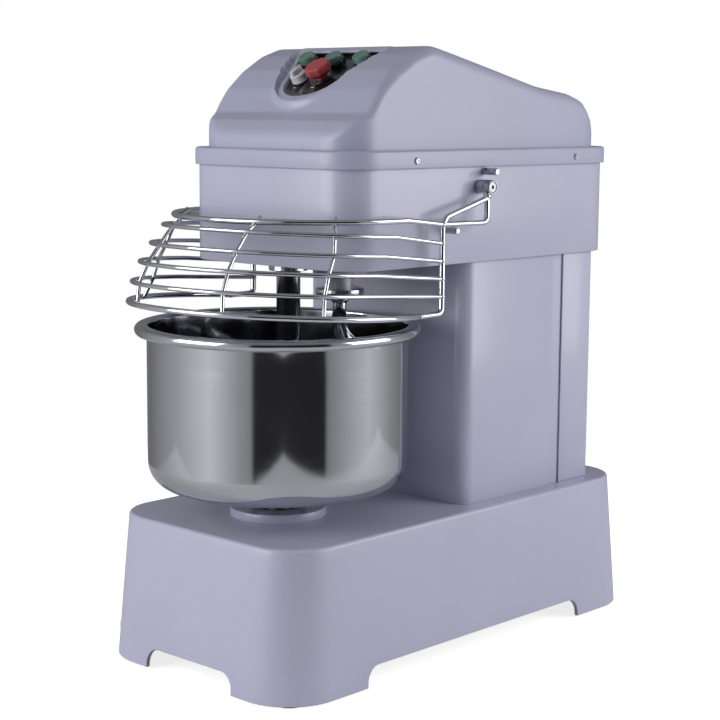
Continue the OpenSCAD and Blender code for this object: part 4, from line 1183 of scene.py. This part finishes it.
@dataclass
class MixingTools:
    """The spiral hook on its driving disc, and the fixed breaker bar."""

    rod_r: float = 10
    spiral_r: float = 55
    turns: float = 1.3
    start: float = 215
    straight: float = 0.06
    growth: float = 0.45
    rise: float = 0.05
    disc_t: float = 9
    boss_r: float = 15
    screw_r: float = 7
    screw_h: float = 6
    screw_inset: float = 3
    bar_r: float = 16.5
    flange_t: float = 8

    def build(self) -> None:
        """Builds the hook, the disc and the bar."""
        low, high = extent("hook_disc")
        self.axis = (low + high) / 2
        self._hook()
        self._disc(low, high)
        self._bar()

    def _hook_point(self, t: float, top: float, bottom: float) -> Vector:
        """Finds a point of the hook's centre line.

        Args:
            t: The share of the way down.
            top: The height of the line's start.
            bottom: The height of its end.

        Returns:
            The point.
        """
        grow = min(1.0, max(0.0, (t - self.straight) / self.growth))
        r = self.spiral_r * grow * grow * (3 - 2 * grow)
        a = math.radians(self.start - 360 * self.turns * t)
        z = top + (bottom - top) * (t + self.rise * math.sin(math.tau * t))
        return Vector((self.axis.x + r * math.cos(a), self.axis.y + r * math.sin(a), z))

    def _hook(self) -> None:
        """The hook's rod, with a domed end and a weld collar under the disc."""
        low, _ = extent("spiral_hook")
        disc_low, disc_high = extent("hook_disc")
        top, bottom = disc_high.z - 5, low.z + self.rod_r
        path = [self._hook_point(k / 220, top, bottom) for k in range(221)]
        made = Shape()
        made.tube(path[:-1], self.rod_r, 28)
        way = (path[-1] - path[-3]).normalized()
        turn = way.to_track_quat("Z", "Y").to_matrix().to_4x4()
        dome = [(self.rod_r * math.cos(math.radians(a)), 6 * math.sin(math.radians(a)))
                for a in (0, 20, 40, 60, 75)] + [(0.0, 6.0)]
        made.lathe([(self.rod_r, -4), *dome], Matrix.Translation(path[-2] - way * 5.5) @ turn, 28)
        collar = [(self.rod_r - 1, 3), (self.rod_r + 3.5, 2), (self.rod_r + 2, -1),
                  (self.rod_r + 0.6, -3), (self.rod_r - 0.5, -4)]
        made.lathe(collar, at(self.axis.x, self.axis.y, disc_low.z), 28)
        made.piece("hook_rod", TOOL_STEEL, "hook_unit", 50, ["spiral_hook"])

    def _disc(self, low: Vector, high: Vector) -> None:
        """Makes the driving disc with its boss and three screw heads.

        Args:
            low: The lowest corner of the disc's box.
            high: The highest corner.
        """
        r = (high.x - low.x) / 2
        z1, z0 = high.z, high.z - self.disc_t
        made = Shape()
        boss = self.boss_r
        profile = [(8, z0 - 8), (boss - 1.5, z0 - 8), (boss, z0 - 6.5), (boss, z0 - 1.2),
                   (boss + 1, z0), (r - 1.4, z0), (r - 0.4, z0 + 0.5), (r, z0 + 1.4), (r, z1 - 1.4),
                   (r - 0.4, z1 - 0.4), (r - 1.4, z1), (8, z1)]
        made.lathe(profile, at(self.axis.x, self.axis.y, 0), 96)
        for turn in (30, 150, 270):
            place = at(self.axis.x, self.axis.y, 0) @ Matrix.Rotation(math.radians(turn), 4, "Z")
            place = place @ at(r - self.screw_r - self.screw_inset, 0, z0 - self.screw_h)
            hexagon_head(made, place, self.screw_r, self.screw_h)
        made.piece("driving_disc", TOOL_STEEL, "hook_unit", 34, ["hook_disc"])

    def _bar(self) -> None:
        """The breaker bar with its flange and chamfered foot."""
        low, high = extent("breaker_bar")
        centre = (low + high) / 2
        flange_r = (high.x - low.x) / 2
        head_low, _ = extent("head_shell")
        r, under = self.bar_r, head_low.z
        flange_z = under - self.flange_t
        made = Shape()
        profile = [(0, low.z), (r - 2.5, low.z), (r - 0.6, low.z + 0.8), (r, low.z + 2.5),
                   (r, flange_z - 3), (r + 0.8, flange_z - 1), (r + 2.5, flange_z),
                   (flange_r - 1, flange_z), (flange_r, flange_z + 1), (flange_r, under - 1),
                   (flange_r - 1, under), (8, under), (8, high.z - 1.5), (6.5, high.z),
                   (0, high.z)]
        made.lathe(profile, at(centre.x, centre.y, 0), 72)
        made.piece("breaker_bar_turned", TOOL_STEEL, "root", 34, ["breaker_bar"])


def hexagon_head(made: Shape, place: Matrix, r: float, height: float) -> None:
    """Adds a hexagon head that hangs down, with its chamfer at its lower end.

    Args:
        made: The shape that it joins.
        place: Its lower end, with Z along its axis.
        r: The radius to its corners.
        height: Its height.
    """
    flat = r * math.cos(math.pi / 6)
    rings = []
    for z, full in ((0.0, False), (0.9, True), (height, True)):
        ring = []
        for k in range(24):
            a = math.tau * k / 24
            hexagon = flat / math.cos((a % (math.pi / 3)) - math.pi / 6)
            size = hexagon if full else min(hexagon, flat * 0.97)
            ring.append(place @ Vector((size * math.cos(a), size * math.sin(a), z)))
        rings.append(ring)
    made.rings(rings)


# ------------------------------------------------------------------ guard


@dataclass
class Guard:
    """The wire guard: a top wire, four rings, a bottom ring, ribs and side wires."""

    half: float = 185
    frame_r: float = 4
    ring_r: float = 3
    rib_r: float = 2.7
    top_y: float = -135
    top_z: float = 620
    ring_drop: tuple[float, ...] = (21, 45, 69, 95)
    ring_lead: tuple[float, ...] = (20, 42, 62, 76)
    end_drop: tuple[float, ...] = (26, 50, 74, 98)
    slope: float = 3.3
    end_y: float = -65.2
    arm_z: float = 610.5
    arm_lead: float = 8
    bend_r: float = 9
    pivot_y: float = 36.8
    pivot_z: float = 659
    boss_start: float = 164.5
    bottom_z: float = 496
    bottom_lead: float = 45
    rib_near: tuple[float, ...] = (72, 73, 75, 79, 82, 83)
    rib_far: tuple[float, ...] = (148, 156, 163, 166, 168, 176)

    def build(self) -> None:
        """Builds every wire and its welds."""
        low, high = extent("guard_bottom_ring")
        self.bottom_r = (high.x - low.x) / 2 - self.frame_r
        bowl_low, bowl_high = extent("bowl")
        self.bowl_y = (bowl_low.y + bowl_high.y) / 2
        self._top_wire()
        self._rings()
        self._bottom_ring()
        self._side_wires()
        self._ribs()
        self._plate()
        self._bosses()

    def _bow(self, y: float, z: float, r: float, slope: float) -> list[Vector]:
        """The front half of a ring, from the right leg round to the left one."""
        return arc(Vector((0, y, z)), r, 0, -180, slope, 96)

    def _top_wire(self) -> None:
        """The top wire, whose arms run back and then up to the pivots."""
        h = self.half
        bow = self._bow(self.top_y, self.top_z, h, 0.2)
        arms = []
        for side in (1, -1):
            corners = [Vector((side * h, self.top_y, self.top_z)),
                       Vector((side * h, self.end_y, self.arm_z + 1.5)),
                       Vector((side * h, self.pivot_y - self.arm_lead, self.arm_z)),
                       Vector((side * h, self.pivot_y - self.arm_lead, self.pivot_z - 8))]
            arms.append(fillet(corners, self.bend_r))
        path = [*reversed(arms[0]), *bow[1:-1], *arms[1]]
        made = Shape()
        made.tube(path, self.frame_r, 20)
        made.piece("top_frame_wire", CHROME, "guard", 60, ["guard_top_wire"])

    def _rings(self) -> None:
        """The four rings, each with short legs to the side wires."""
        made = Shape()
        for drop, lead, end in zip(self.ring_drop, self.ring_lead, self.end_drop):
            y, z = self.top_y - lead, self.top_z - drop
            bow = self._bow(y, z, self.half, self.slope)
            tail_z = self.arm_z - end + 2
            right = Vector((self.half, self.end_y, tail_z))
            left = Vector((-self.half, self.end_y, tail_z))
            made.tube([right, *bow, left], self.ring_r, 16)
        made.piece("guard_ring_wires", CHROME, "guard", 60, ["guard_rings"])

    def _bottom_ring(self) -> None:
        """The widest ring, just above the bowl's rim."""
        reach = self.end_y - self.bottom_lead - self.bowl_y
        extra = math.degrees(math.asin(reach / self.bottom_r))
        path = arc(Vector((0, self.bowl_y, self.bottom_z)), self.bottom_r, extra, -180 - extra,
                   self.slope, 132)
        made = Shape()
        made.tube(path, self.frame_r, 20)
        made.piece("bottom_ring_wire", CHROME, "guard", 60, ["guard_bottom_ring"])

    def _side_wires(self) -> None:
        """The side wires, from the pivots down to the bottom ring."""
        low, _ = extent("guard_side_wires")
        end_z = low.z + self.frame_r
        end_y = self.end_y - self.bottom_lead
        end_x = math.sqrt(self.bottom_r**2 - (end_y - self.bowl_y) ** 2)
        arm_y = self.pivot_y - self.arm_lead
        made = Shape()
        for side in (1, -1):
            h = side * self.half
            corners = [Vector((h, arm_y + 4, self.pivot_z - 12)),
                       Vector((h, arm_y, self.pivot_z - 15)),
                       Vector((h, self.end_y + 8, self.arm_z + 11)),
                       Vector((h, self.end_y, self.arm_z)), Vector((h, self.end_y, end_z)),
                       Vector((side * end_x, end_y, end_z))]
            made.tube(fillet(corners, self.bend_r), self.frame_r, 20)
            weld(made, Vector((h, self.end_y, self.arm_z + 1)), 5.6)
            weld(made, Vector((side * end_x, end_y, end_z)), 5.4)
            weld(made, Vector((h, arm_y, self.pivot_z - 12)), 5.8)
            for end in self.end_drop:
                weld(made, Vector((h, self.end_y, self.arm_z - end + 2)), 4.9)
        made.piece("guard_side_frame", CHROME, "guard", 60, ["guard_side_wires"])

    def _rib_point(self, ring: int, x: float) -> Vector:
        """Finds where a rib touches a ring from inside.

        Args:
            ring: The ring's number; -1 is the top wire and 4 the bottom ring.
            x: How far the rib is from the middle there.

        Returns:
            The place.
        """
        outer = self.bottom_r if ring > 3 else self.half
        r = outer - 2 * self.ring_r + 0.4
        y = self.bowl_y if ring > 3 else self.top_y - (0 if ring < 0 else self.ring_lead[ring])
        z = self.bottom_z if ring > 3 else self.top_z - (0 if ring < 0 else self.ring_drop[ring])
        slope = math.radians(0.2 if ring < 0 else self.slope)
        ahead = math.sqrt(r * r - x * x)
        return Vector((x, y - ahead * math.cos(slope), z + ahead * math.sin(slope)))

    def _ribs(self) -> None:
        """The four upright ribs, welded inside every ring."""
        made = Shape()
        for side in (1, -1):
            for places in (self.rib_near, self.rib_far):
                points = [self._rib_point(i - 1, x) for i, x in enumerate(places)]
                points.insert(0, points[0] + Vector((-4, 8, 5)))
                points = [Vector((side * p.x, p.y, p.z)) for p in points]
                made.tube(fillet(points, 14, 4), self.rib_r, 14)
                for point in points[1:]:
                    outward = Vector((point.x, point.y - self.bowl_y, 0)).normalized()
                    weld(made, point + outward * 2.4, 4.0)
        made.piece("guard_rib_wires", CHROME, "guard", 60, ["guard_ribs"])

    def _plate(self) -> None:
        """The pressed plate that closes the guard's top in front of the head."""
        low, high = extent("guard_top_plate")
        r = (high.x - low.x) / 2
        centre_y = low.y + r
        back = high.y
        half = math.degrees(math.asin((centre_y - back) / r)) if back < centre_y else 0.0
        outline = arc(Vector((0, centre_y, 0)), r, -half, -180 + half, 0, 96)
        rings = []
        mid = Vector((0, (low.y + back) / 2, 0))
        for inset, z in ((0.5, low.z), (0.0, low.z + 0.4), (0.0, high.z - 0.4), (0.5, high.z)):
            rings.append([p + (mid - p).normalized() * inset + Vector((0, 0, z)) for p in outline])
        made = Shape()
        made.rings(rings)
        made.piece("guard_splash_plate", TOOL_STEEL, "guard", 40, ["guard_top_plate"])

    def _bosses(self) -> None:
        """The two pivot bosses, each with a turned groove and a counterbore."""
        low, high = extent("guard_bosses")
        length = high.x - self.boss_start
        made = Shape()
        r = (high.z - low.z) / 2
        for side in (1, -1):
            place = facing_x(side * self.boss_start, self.pivot_y, self.pivot_z)
            profile = [(4.1, 0), (r - 0.8, 0), (r, 0.8), (r, length * 0.55),
                       (r - 0.7, length * 0.58), (r - 0.7, length * 0.62), (r, length * 0.65),
                       (r, length - 1.2), (r - 1.2, length), (8.0, length), (7.5, length - 0.5),
                       (7.5, length - 6), (4.1, length - 6)]
            made.lathe(profile, place, 56, closed=True)
        made.piece("guard_pivot_bosses", FITTING, "guard", 34, ["guard_bosses"])


def weld(made: Shape, centre: Vector, r: float) -> None:
    """Adds a small flattened weld bead round a crossing of wires.

    Args:
        made: The shape that it joins.
        centre: The crossing.
        r: The bead's radius.
    """
    levels = [(-90 + 180 * k / 8) for k in range(9)]
    profile = [(r * math.cos(math.radians(a)), 0.8 * r * math.sin(math.radians(a))) for a in levels]
    profile[0], profile[-1] = (0.0, -0.8 * r), (0.0, 0.8 * r)
    made.lathe(profile, Matrix.Translation(centre), 12)


# ------------------------------------------------------------------ controls


@dataclass
class Controls:
    """The black panel in its pocket, its bezels, buttons and knobs."""

    panel: Panel
    step: float = 52
    row: float = 36
    button_r: float = 12
    stop_x: float = 4
    stop_y: float = -2
    selector_x: float = -33
    selector_y: float = -8
    bezel_w: float = 2.5
    bezel_top: float = 8
    plate_top: float = 3
    dot_r: float = 15.5

    def build(self) -> None:
        """Builds the panel and every control on it."""
        self._tray()
        for name, place in (("left", -1), ("middle", 0), ("right", 1)):
            self._button(name, place * self.step)
        self._stop()
        self._selector()
        self._marks()

    def _tray(self) -> None:
        """The glossy tray: a floor, a wall up to the pocket's mouth, and bezels."""
        made = Shape()
        rings = []
        mouth, floor = self.panel.mouth, self.plate_top
        for grow, z in ((-0.4, 0.4), (-0.4, mouth - 1.9), (-0.9, mouth - 1.3),
                        (-2.2, mouth - 1.3), (-2.9, mouth - 2.2), (-3.4, floor + 1.2),
                        (-4.6, floor), (-30.0, floor)):
            rings.append(self.panel.ring(grow, z))
        made.rings(rings)
        for x in (-self.step, 0, self.step):
            self._bezel(made, x, self.row, self.button_r)
        collar = [(10.5, 2.5), (14.5, 2.5), (14.5, 3.6), (13.8, 4.2), (10.5, 4.2)]
        made.lathe(collar, self.panel.place(self.stop_x, self.stop_y), 48)
        made.piece("control_tray", GLOSS_BLACK, "root", 34, ["control_panel"])
        rim = Shape()
        line = []
        for grow, z in ((-1.4, mouth - 1.6), (-1.4, mouth - 1.0), (-2.3, mouth - 1.0),
                        (-2.3, mouth - 1.6)):
            line.append(self.panel.ring(grow, z))
        rim.rings(line, closed=True)
        rim.piece("control_tray_trim", FITTING, "root", 30)

    def _bezel(self, made: Shape, x: float, y: float, r: float) -> None:
        """Adds a round bezel with a soft shoulder.

        Args:
            made: The shape that it joins.
            x: Its place across the panel.
            y: Its place up the panel.
            r: Its bore.
        """
        w, top, low = self.bezel_w, self.bezel_top, self.plate_top - 0.5
        profile = [(r + 0.3, low), (r + w, low), (r + w, top - 1.4), (r + w - 0.4, top - 0.4),
                   (r + w - 1.2, top), (r + 0.8, top), (r + 0.3, top - 0.5)]
        made.lathe(profile, self.panel.place(x, y), 48, closed=True)

    def _button(self, name: str, x: float) -> None:
        """Makes a push button with a shallow dish in its cap.

        Args:
            name: Which of the three it is.
            x: Its place across the panel.
        """
        r, z = self.button_r, 7.5
        made = Shape()
        profile = [(0.0, -11.5), (8, -11.5), (8, z), (r - 0.4, z), (r, z + 0.4), (r, z + 7.2),
                   (r - 0.4, z + 8.3), (r - 1.4, z + 9), (r - 2.6, z + 8.9), (r - 4.5, z + 8.3),
                   (r - 8, z + 8.0), (0.0, z + 7.9)]
        made.lathe(profile, self.panel.place(x, self.row), 48)
        made.piece(f"button_{name}_cap", GREEN, f"{name}_button", 34, [f"button_{name}"])

    def _stop(self) -> None:
        """The stop button, a broad head with eight flats."""
        place = self.panel.place(self.stop_x, self.stop_y)
        made = Shape()
        rings = []
        levels = [(8.0, -9.5, 0.0), (8.0, 9.5, 0.0), (12.5, 9.5, 0.3), (14.2, 10.2, 1.0),
                  (18.8, 15.4, 1.0), (19.0, 16.2, 1.0), (18.0, 24.2, 1.0), (16.6, 25.3, 1.0),
                  (14.0, 25.5, 0.8), (6.0, 25.4, 0.0)]
        for r, z, flat in levels:
            ring = []
            for k in range(64):
                a = math.tau * k / 64
                turn = (a % (math.pi / 4)) - math.pi / 8
                octagon = math.cos(math.pi / 8) / math.cos(turn)
                size = r * (1 - flat + flat * octagon)
                ring.append(place @ Vector((size * math.cos(a), size * math.sin(a), z)))
            rings.append(ring)
        made.rings(rings)
        made.piece("stop_button_head", RED, "stop", 24, ["stop_button"])

    def _selector(self) -> None:
        """The selector, a short round knob with a grip across it and a mark."""
        place = self.panel.place(self.selector_x, self.selector_y)
        made = Shape()
        profile = [(0.0, -15.5), (4.9, -15.5), (4.9, 3.6), (11, 3.6), (12, 4.4), (12, 5.6),
                   (11.6, 6.2), (11.6, 14.4), (10.8, 15.4), (9.6, 15.8), (0.0, 15.8)]
        made.lathe(profile, place, 56)
        grip = round_outline(8, 21.6, 3.6, 6)
        rings = []
        for inset, z in ((0.0, 14.5), (0.0, 22.0), (0.5, 22.8), (1.4, 23.0)):
            rings.append([place @ Vector((x * (1 - inset / 4), y * (1 - inset / 10.8), z))
                          for x, y in grip])
        made.rings(rings)
        made.piece("selector_knob_turned", IVORY, "selector", 34, ["selector_knob"])
        mark = Shape()
        line = round_outline(1.2, 7, 0.55, 4)
        mark.rings([[place @ Vector((x, y + 5.5, z)) for x, y in line] for z in (22.9, 23.15)])
        mark.piece("selector_mark", GLOSS_BLACK, "selector", 30)

    def _marks(self) -> None:
        """Plain printed marks beside the controls."""
        made = Shape()
        z = self.plate_top
        places = [(-self.step + 1, 19.5, 5.0, 1.3), (0, 20.5, 5.0, 1.3),
                  (self.step - 3, 19.5, 5.0, 1.3), (self.stop_x, -25.5, 7.0, 1.5),
                  (self.selector_x + 3, -26.0, 4.0, 1.3)]
        for turn in (-45, 0, 45):
            a = math.radians(turn + 90)
            x = self.selector_x + self.dot_r * math.cos(a)
            places.append((x, self.selector_y + self.dot_r * math.sin(a), 1.6, 1.6))
        for x, y, w, h in places:
            line = round_outline(w, h, min(w, h) / 2 - 0.02, 4)
            made.rings([[self.panel.place(x + px, y + py, level).translation for px, py in line]
                        for level in (z - 0.1, z + 0.12)])
        made.piece("control_marks", PRINT, "root", 30)


# ------------------------------------------------------------------ carried CAD pieces


@dataclass
class CarriedParts:
    """The CAD pieces that keep their shape: they get softened edges and a finish."""

    soften: float = 0.5

    def build(self, nodes: dict[str, bpy.types.Object]) -> None:
        """Dresses every CAD node that no finished piece replaces.

        Args:
            nodes: The CAD nodes by name.
        """
        table: dict[Finish, tuple[str, ...]] = {
            RUBBER: ("rubber_feet",),
            ZINC: ("foot_bolts", "column_bolts", "rear_cover_screws", "head_bolts", "cover_screws",
                   "breaker_bar_nut", "guard_pivot_bolts"),
            GREY_STEEL: ("column_posts", "control_box", "motor_housing"),
            CAST_GREY: ("head_floor_plate", "motor_bracket", "counter_housings"),
            ENAMEL: ("hub_housing", "spindle_housing"),
            SATIN: ("spindle_shaft",),
            BEARING: ("hub_bearings", "spindle_bearings", "counter_bearings", "bowl_shaft",
                      "counter_shaft", "motor_shaft"),
            DARK_STEEL: ("spindle_chain", "bowl_chain", "bowl_sprocket", "spindle_sprocket",
                         "counter_sprocket", "counter_pinion", "counter_pulley", "motor_pulley",
                         "bowl_hub"),
            RUBBER_BELT: ("drive_belt",),
            GLOSS_BLACK: ("cable_gland", "switch_blocks", "guard_switch"),
            FITTING: ("guard_stop_pins", "guard_rest_pins"),
        }
        for finish, names in table.items():
            for name in names:
                self._dress(nodes[name], finish)

    def _dress(self, node: bpy.types.Object, finish: Finish) -> None:
        """Gives one CAD node its finish and softens its edges.

        Args:
            node: The CAD node.
            finish: Its finish.
        """
        dress(node, finish)
        merge = node.modifiers.new("merge", "WELD")
        merge.merge_threshold = 1e-5
        bevel = node.modifiers.new("soft_edges", "BEVEL")
        bevel.width = self.soften * METRES
        bevel.segments = 2
        bevel.limit_method = "ANGLE"
        bevel.angle_limit = math.radians(35)
        bevel.harden_normals = True
        LOG.info("%s: carried with %s", node.name, finish.name)


# ------------------------------------------------------------------ studio


@dataclass
class Studio:
    """The pale floor, the soft light and the camera."""

    lens: float = 86.8
    turn: float = 43.1
    pitch: float = 8.3
    roll: float = 0.4
    eye: tuple[float, float, float] = (1699.6, -1844.4, 767.7)
    floor_size: float = 2.6
    floor_glow: float = 0.8

    def build(self) -> None:
        """Sets up the world, the lights, the floor and the camera."""
        self._camera()
        self._world()
        self._floor()
        self._light("front_box", (-0.9, -2.6, 1.1), 2.0, 40)
        self._light("side_box", (2.3, 1.3, 1.1), 2.0, 38)
        bpy.context.scene.view_settings.view_transform = "Standard"

    def _camera(self) -> None:
        """The camera, turned by its angles about the machine."""
        data = bpy.data.cameras.new("camera")
        data.lens, data.sensor_width = self.lens, 36
        data.clip_end = 100
        camera = bpy.data.objects.new("camera", data)
        a, e = math.radians(self.turn), math.radians(self.pitch)
        back = Vector((math.sin(a) * math.cos(e), -math.cos(a) * math.cos(e), math.sin(e)))
        right = Vector((math.cos(a), math.sin(a), 0))
        up = back.cross(right)
        c, s = math.cos(math.radians(self.roll)), math.sin(math.radians(self.roll))
        across, rise = right * c + up * s, up * c - right * s
        camera.matrix_world = Matrix.Translation(Vector(self.eye) * METRES) @ Matrix(
            (across, rise, back)).transposed().to_4x4()
        bpy.context.scene.collection.objects.link(camera)
        bpy.context.scene.camera = camera

    def _world(self) -> None:
        """A studio round the machine: light sides, a dark stretch and a white ground."""
        world = bpy.data.worlds.new("studio")
        bpy.context.scene.world = world
        world.use_nodes = True
        tree = world.node_tree
        nodes, links = tree.nodes, tree.links
        place = nodes.new("ShaderNodeTexCoord")
        parts = nodes.new("ShaderNodeSeparateXYZ")
        links.new(place.outputs["Generated"], parts.inputs[0])
        turn = nodes.new("ShaderNodeMath")
        turn.operation = "ARCTAN2"
        links.new(parts.outputs["X"], turn.inputs[0])
        links.new(parts.outputs["Y"], turn.inputs[1])
        share = nodes.new("ShaderNodeMapRange")
        share.inputs["From Min"].default_value = -math.pi
        share.inputs["From Max"].default_value = math.pi
        links.new(turn.outputs[0], share.inputs["Value"])
        ring = nodes.new("ShaderNodeValToRGB")
        self._stops(ring.color_ramp)
        links.new(share.outputs["Result"], ring.inputs["Fac"])
        high = nodes.new("ShaderNodeMapRange")
        high.interpolation_type = "SMOOTHSTEP"
        high.inputs["From Min"].default_value = 0.25
        high.inputs["From Max"].default_value = 0.75
        links.new(parts.outputs["Z"], high.inputs["Value"])
        sky = nodes.new("ShaderNodeMix")
        sky.data_type = "RGBA"
        sky.inputs["B"].default_value = (0.24, 0.24, 0.25, 1)
        links.new(high.outputs["Result"], sky.inputs["Factor"])
        links.new(ring.outputs["Color"], sky.inputs["A"])
        seen = nodes.new("ShaderNodeLightPath")
        pick = nodes.new("ShaderNodeMix")
        pick.data_type = "RGBA"
        pick.inputs["B"].default_value = (1, 1, 1, 1)
        links.new(seen.outputs["Is Camera Ray"], pick.inputs["Factor"])
        links.new(sky.outputs["Result"], pick.inputs["A"])
        links.new(pick.outputs["Result"], nodes["Background"].inputs["Color"])
        nodes["Background"].inputs["Strength"].default_value = 1.0

    def _stops(self, ramp: bpy.types.ColorRamp) -> None:
        """Sets the light round the horizon, by the angle from the camera's side.

        Args:
            ramp: The ramp that holds the light of every direction.
        """
        levels = ((-180, 0.16), (-145, 0.2), (-95, 0.5), (-59, 0.82), (-30, 0.4), (-21, 0.33),
                  (-18, 0.025), (43, 0.025), (46, 0.3), (66, 0.5), (88, 0.72), (120, 0.35),
                  (150, 0.17))
        stops = []
        for angle, level in levels:
            # the share runs from -Y over -X, +Y and +X, and the camera looks from turn
            azimuth = math.radians(180 - self.turn - angle)
            share = (azimuth + math.pi) / math.tau % 1.0
            stops.append((share, level))
        stops.sort()
        while len(ramp.elements) > 1:
            ramp.elements.remove(ramp.elements[0])
        first, last = stops[0], stops[-1]
        gap = first[0] + 1 - last[0]
        edge = last[1] + (first[1] - last[1]) * (1 - last[0]) / gap
        ramp.elements[0].position = 0.0
        ramp.elements[0].color = (edge, edge, edge * 1.03, 1)
        for share, level in [*stops, (1.0, edge)]:
            stop = ramp.elements.new(share)
            stop.color = (level, level, level * 1.03, 1)

    def _floor(self) -> None:
        """A wide pale floor."""
        half = self.floor_size / 2
        mesh = bpy.data.meshes.new("floor")
        mesh.from_pydata([(-half, -half, 0), (half, -half, 0), (half, half, 0), (-half, half, 0)],
                         [], [[0, 1, 2, 3]])
        floor = bpy.data.objects.new("floor", mesh)
        material = bpy.data.materials.new("pale_floor")
        material.use_nodes = True
        shader = material.node_tree.nodes["Principled BSDF"]
        shader.inputs["Base Color"].default_value = (0.86, 0.86, 0.87, 1)
        shader.inputs["Roughness"].default_value = 0.9
        shader.inputs["Emission Color"].default_value = (1, 1, 1, 1)
        tree = material.node_tree
        seen = tree.nodes.new("ShaderNodeLightPath")
        glow = tree.nodes.new("ShaderNodeMath")
        glow.operation = "MULTIPLY"
        glow.inputs[1].default_value = self.floor_glow
        tree.links.new(seen.outputs["Is Camera Ray"], glow.inputs[0])
        tree.links.new(glow.outputs[0], shader.inputs["Emission Strength"])
        mesh.materials.append(material)
        bpy.context.scene.collection.objects.link(floor)

    def _light(self, name: str, place: tuple[float, float, float], size: float,
               power: float) -> None:
        """A soft square light aimed at the machine's middle.

        Args:
            name: The light's name.
            place: Where it stands, in metres.
            size: The length of its side, in metres.
            power: Its power in watts.
        """
        data = bpy.data.lights.new(name, "AREA")
        data.size, data.energy = size, power
        light = bpy.data.objects.new(name, data)
        light.location = place
        aim = Vector((0, 0, 0.45)) - Vector(place)
        light.rotation_euler = aim.to_track_quat("-Z", "Y").to_euler()
        bpy.context.scene.collection.objects.link(light)


def main() -> None:
    """Builds every sub-assembly in order."""
    logging.basicConfig(level=logging.INFO, format="%(message)s")
    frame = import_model()
    Studio().build()
    panel = Panel()
    Base().build()
    Casings().build()
    TopCover(panel).build()
    Bowl().build()
    MixingTools().build()
    Guard().build()
    Controls(panel).build()
    CarriedParts().build(frame["nodes"])


if __name__ == "__main__":
    main()
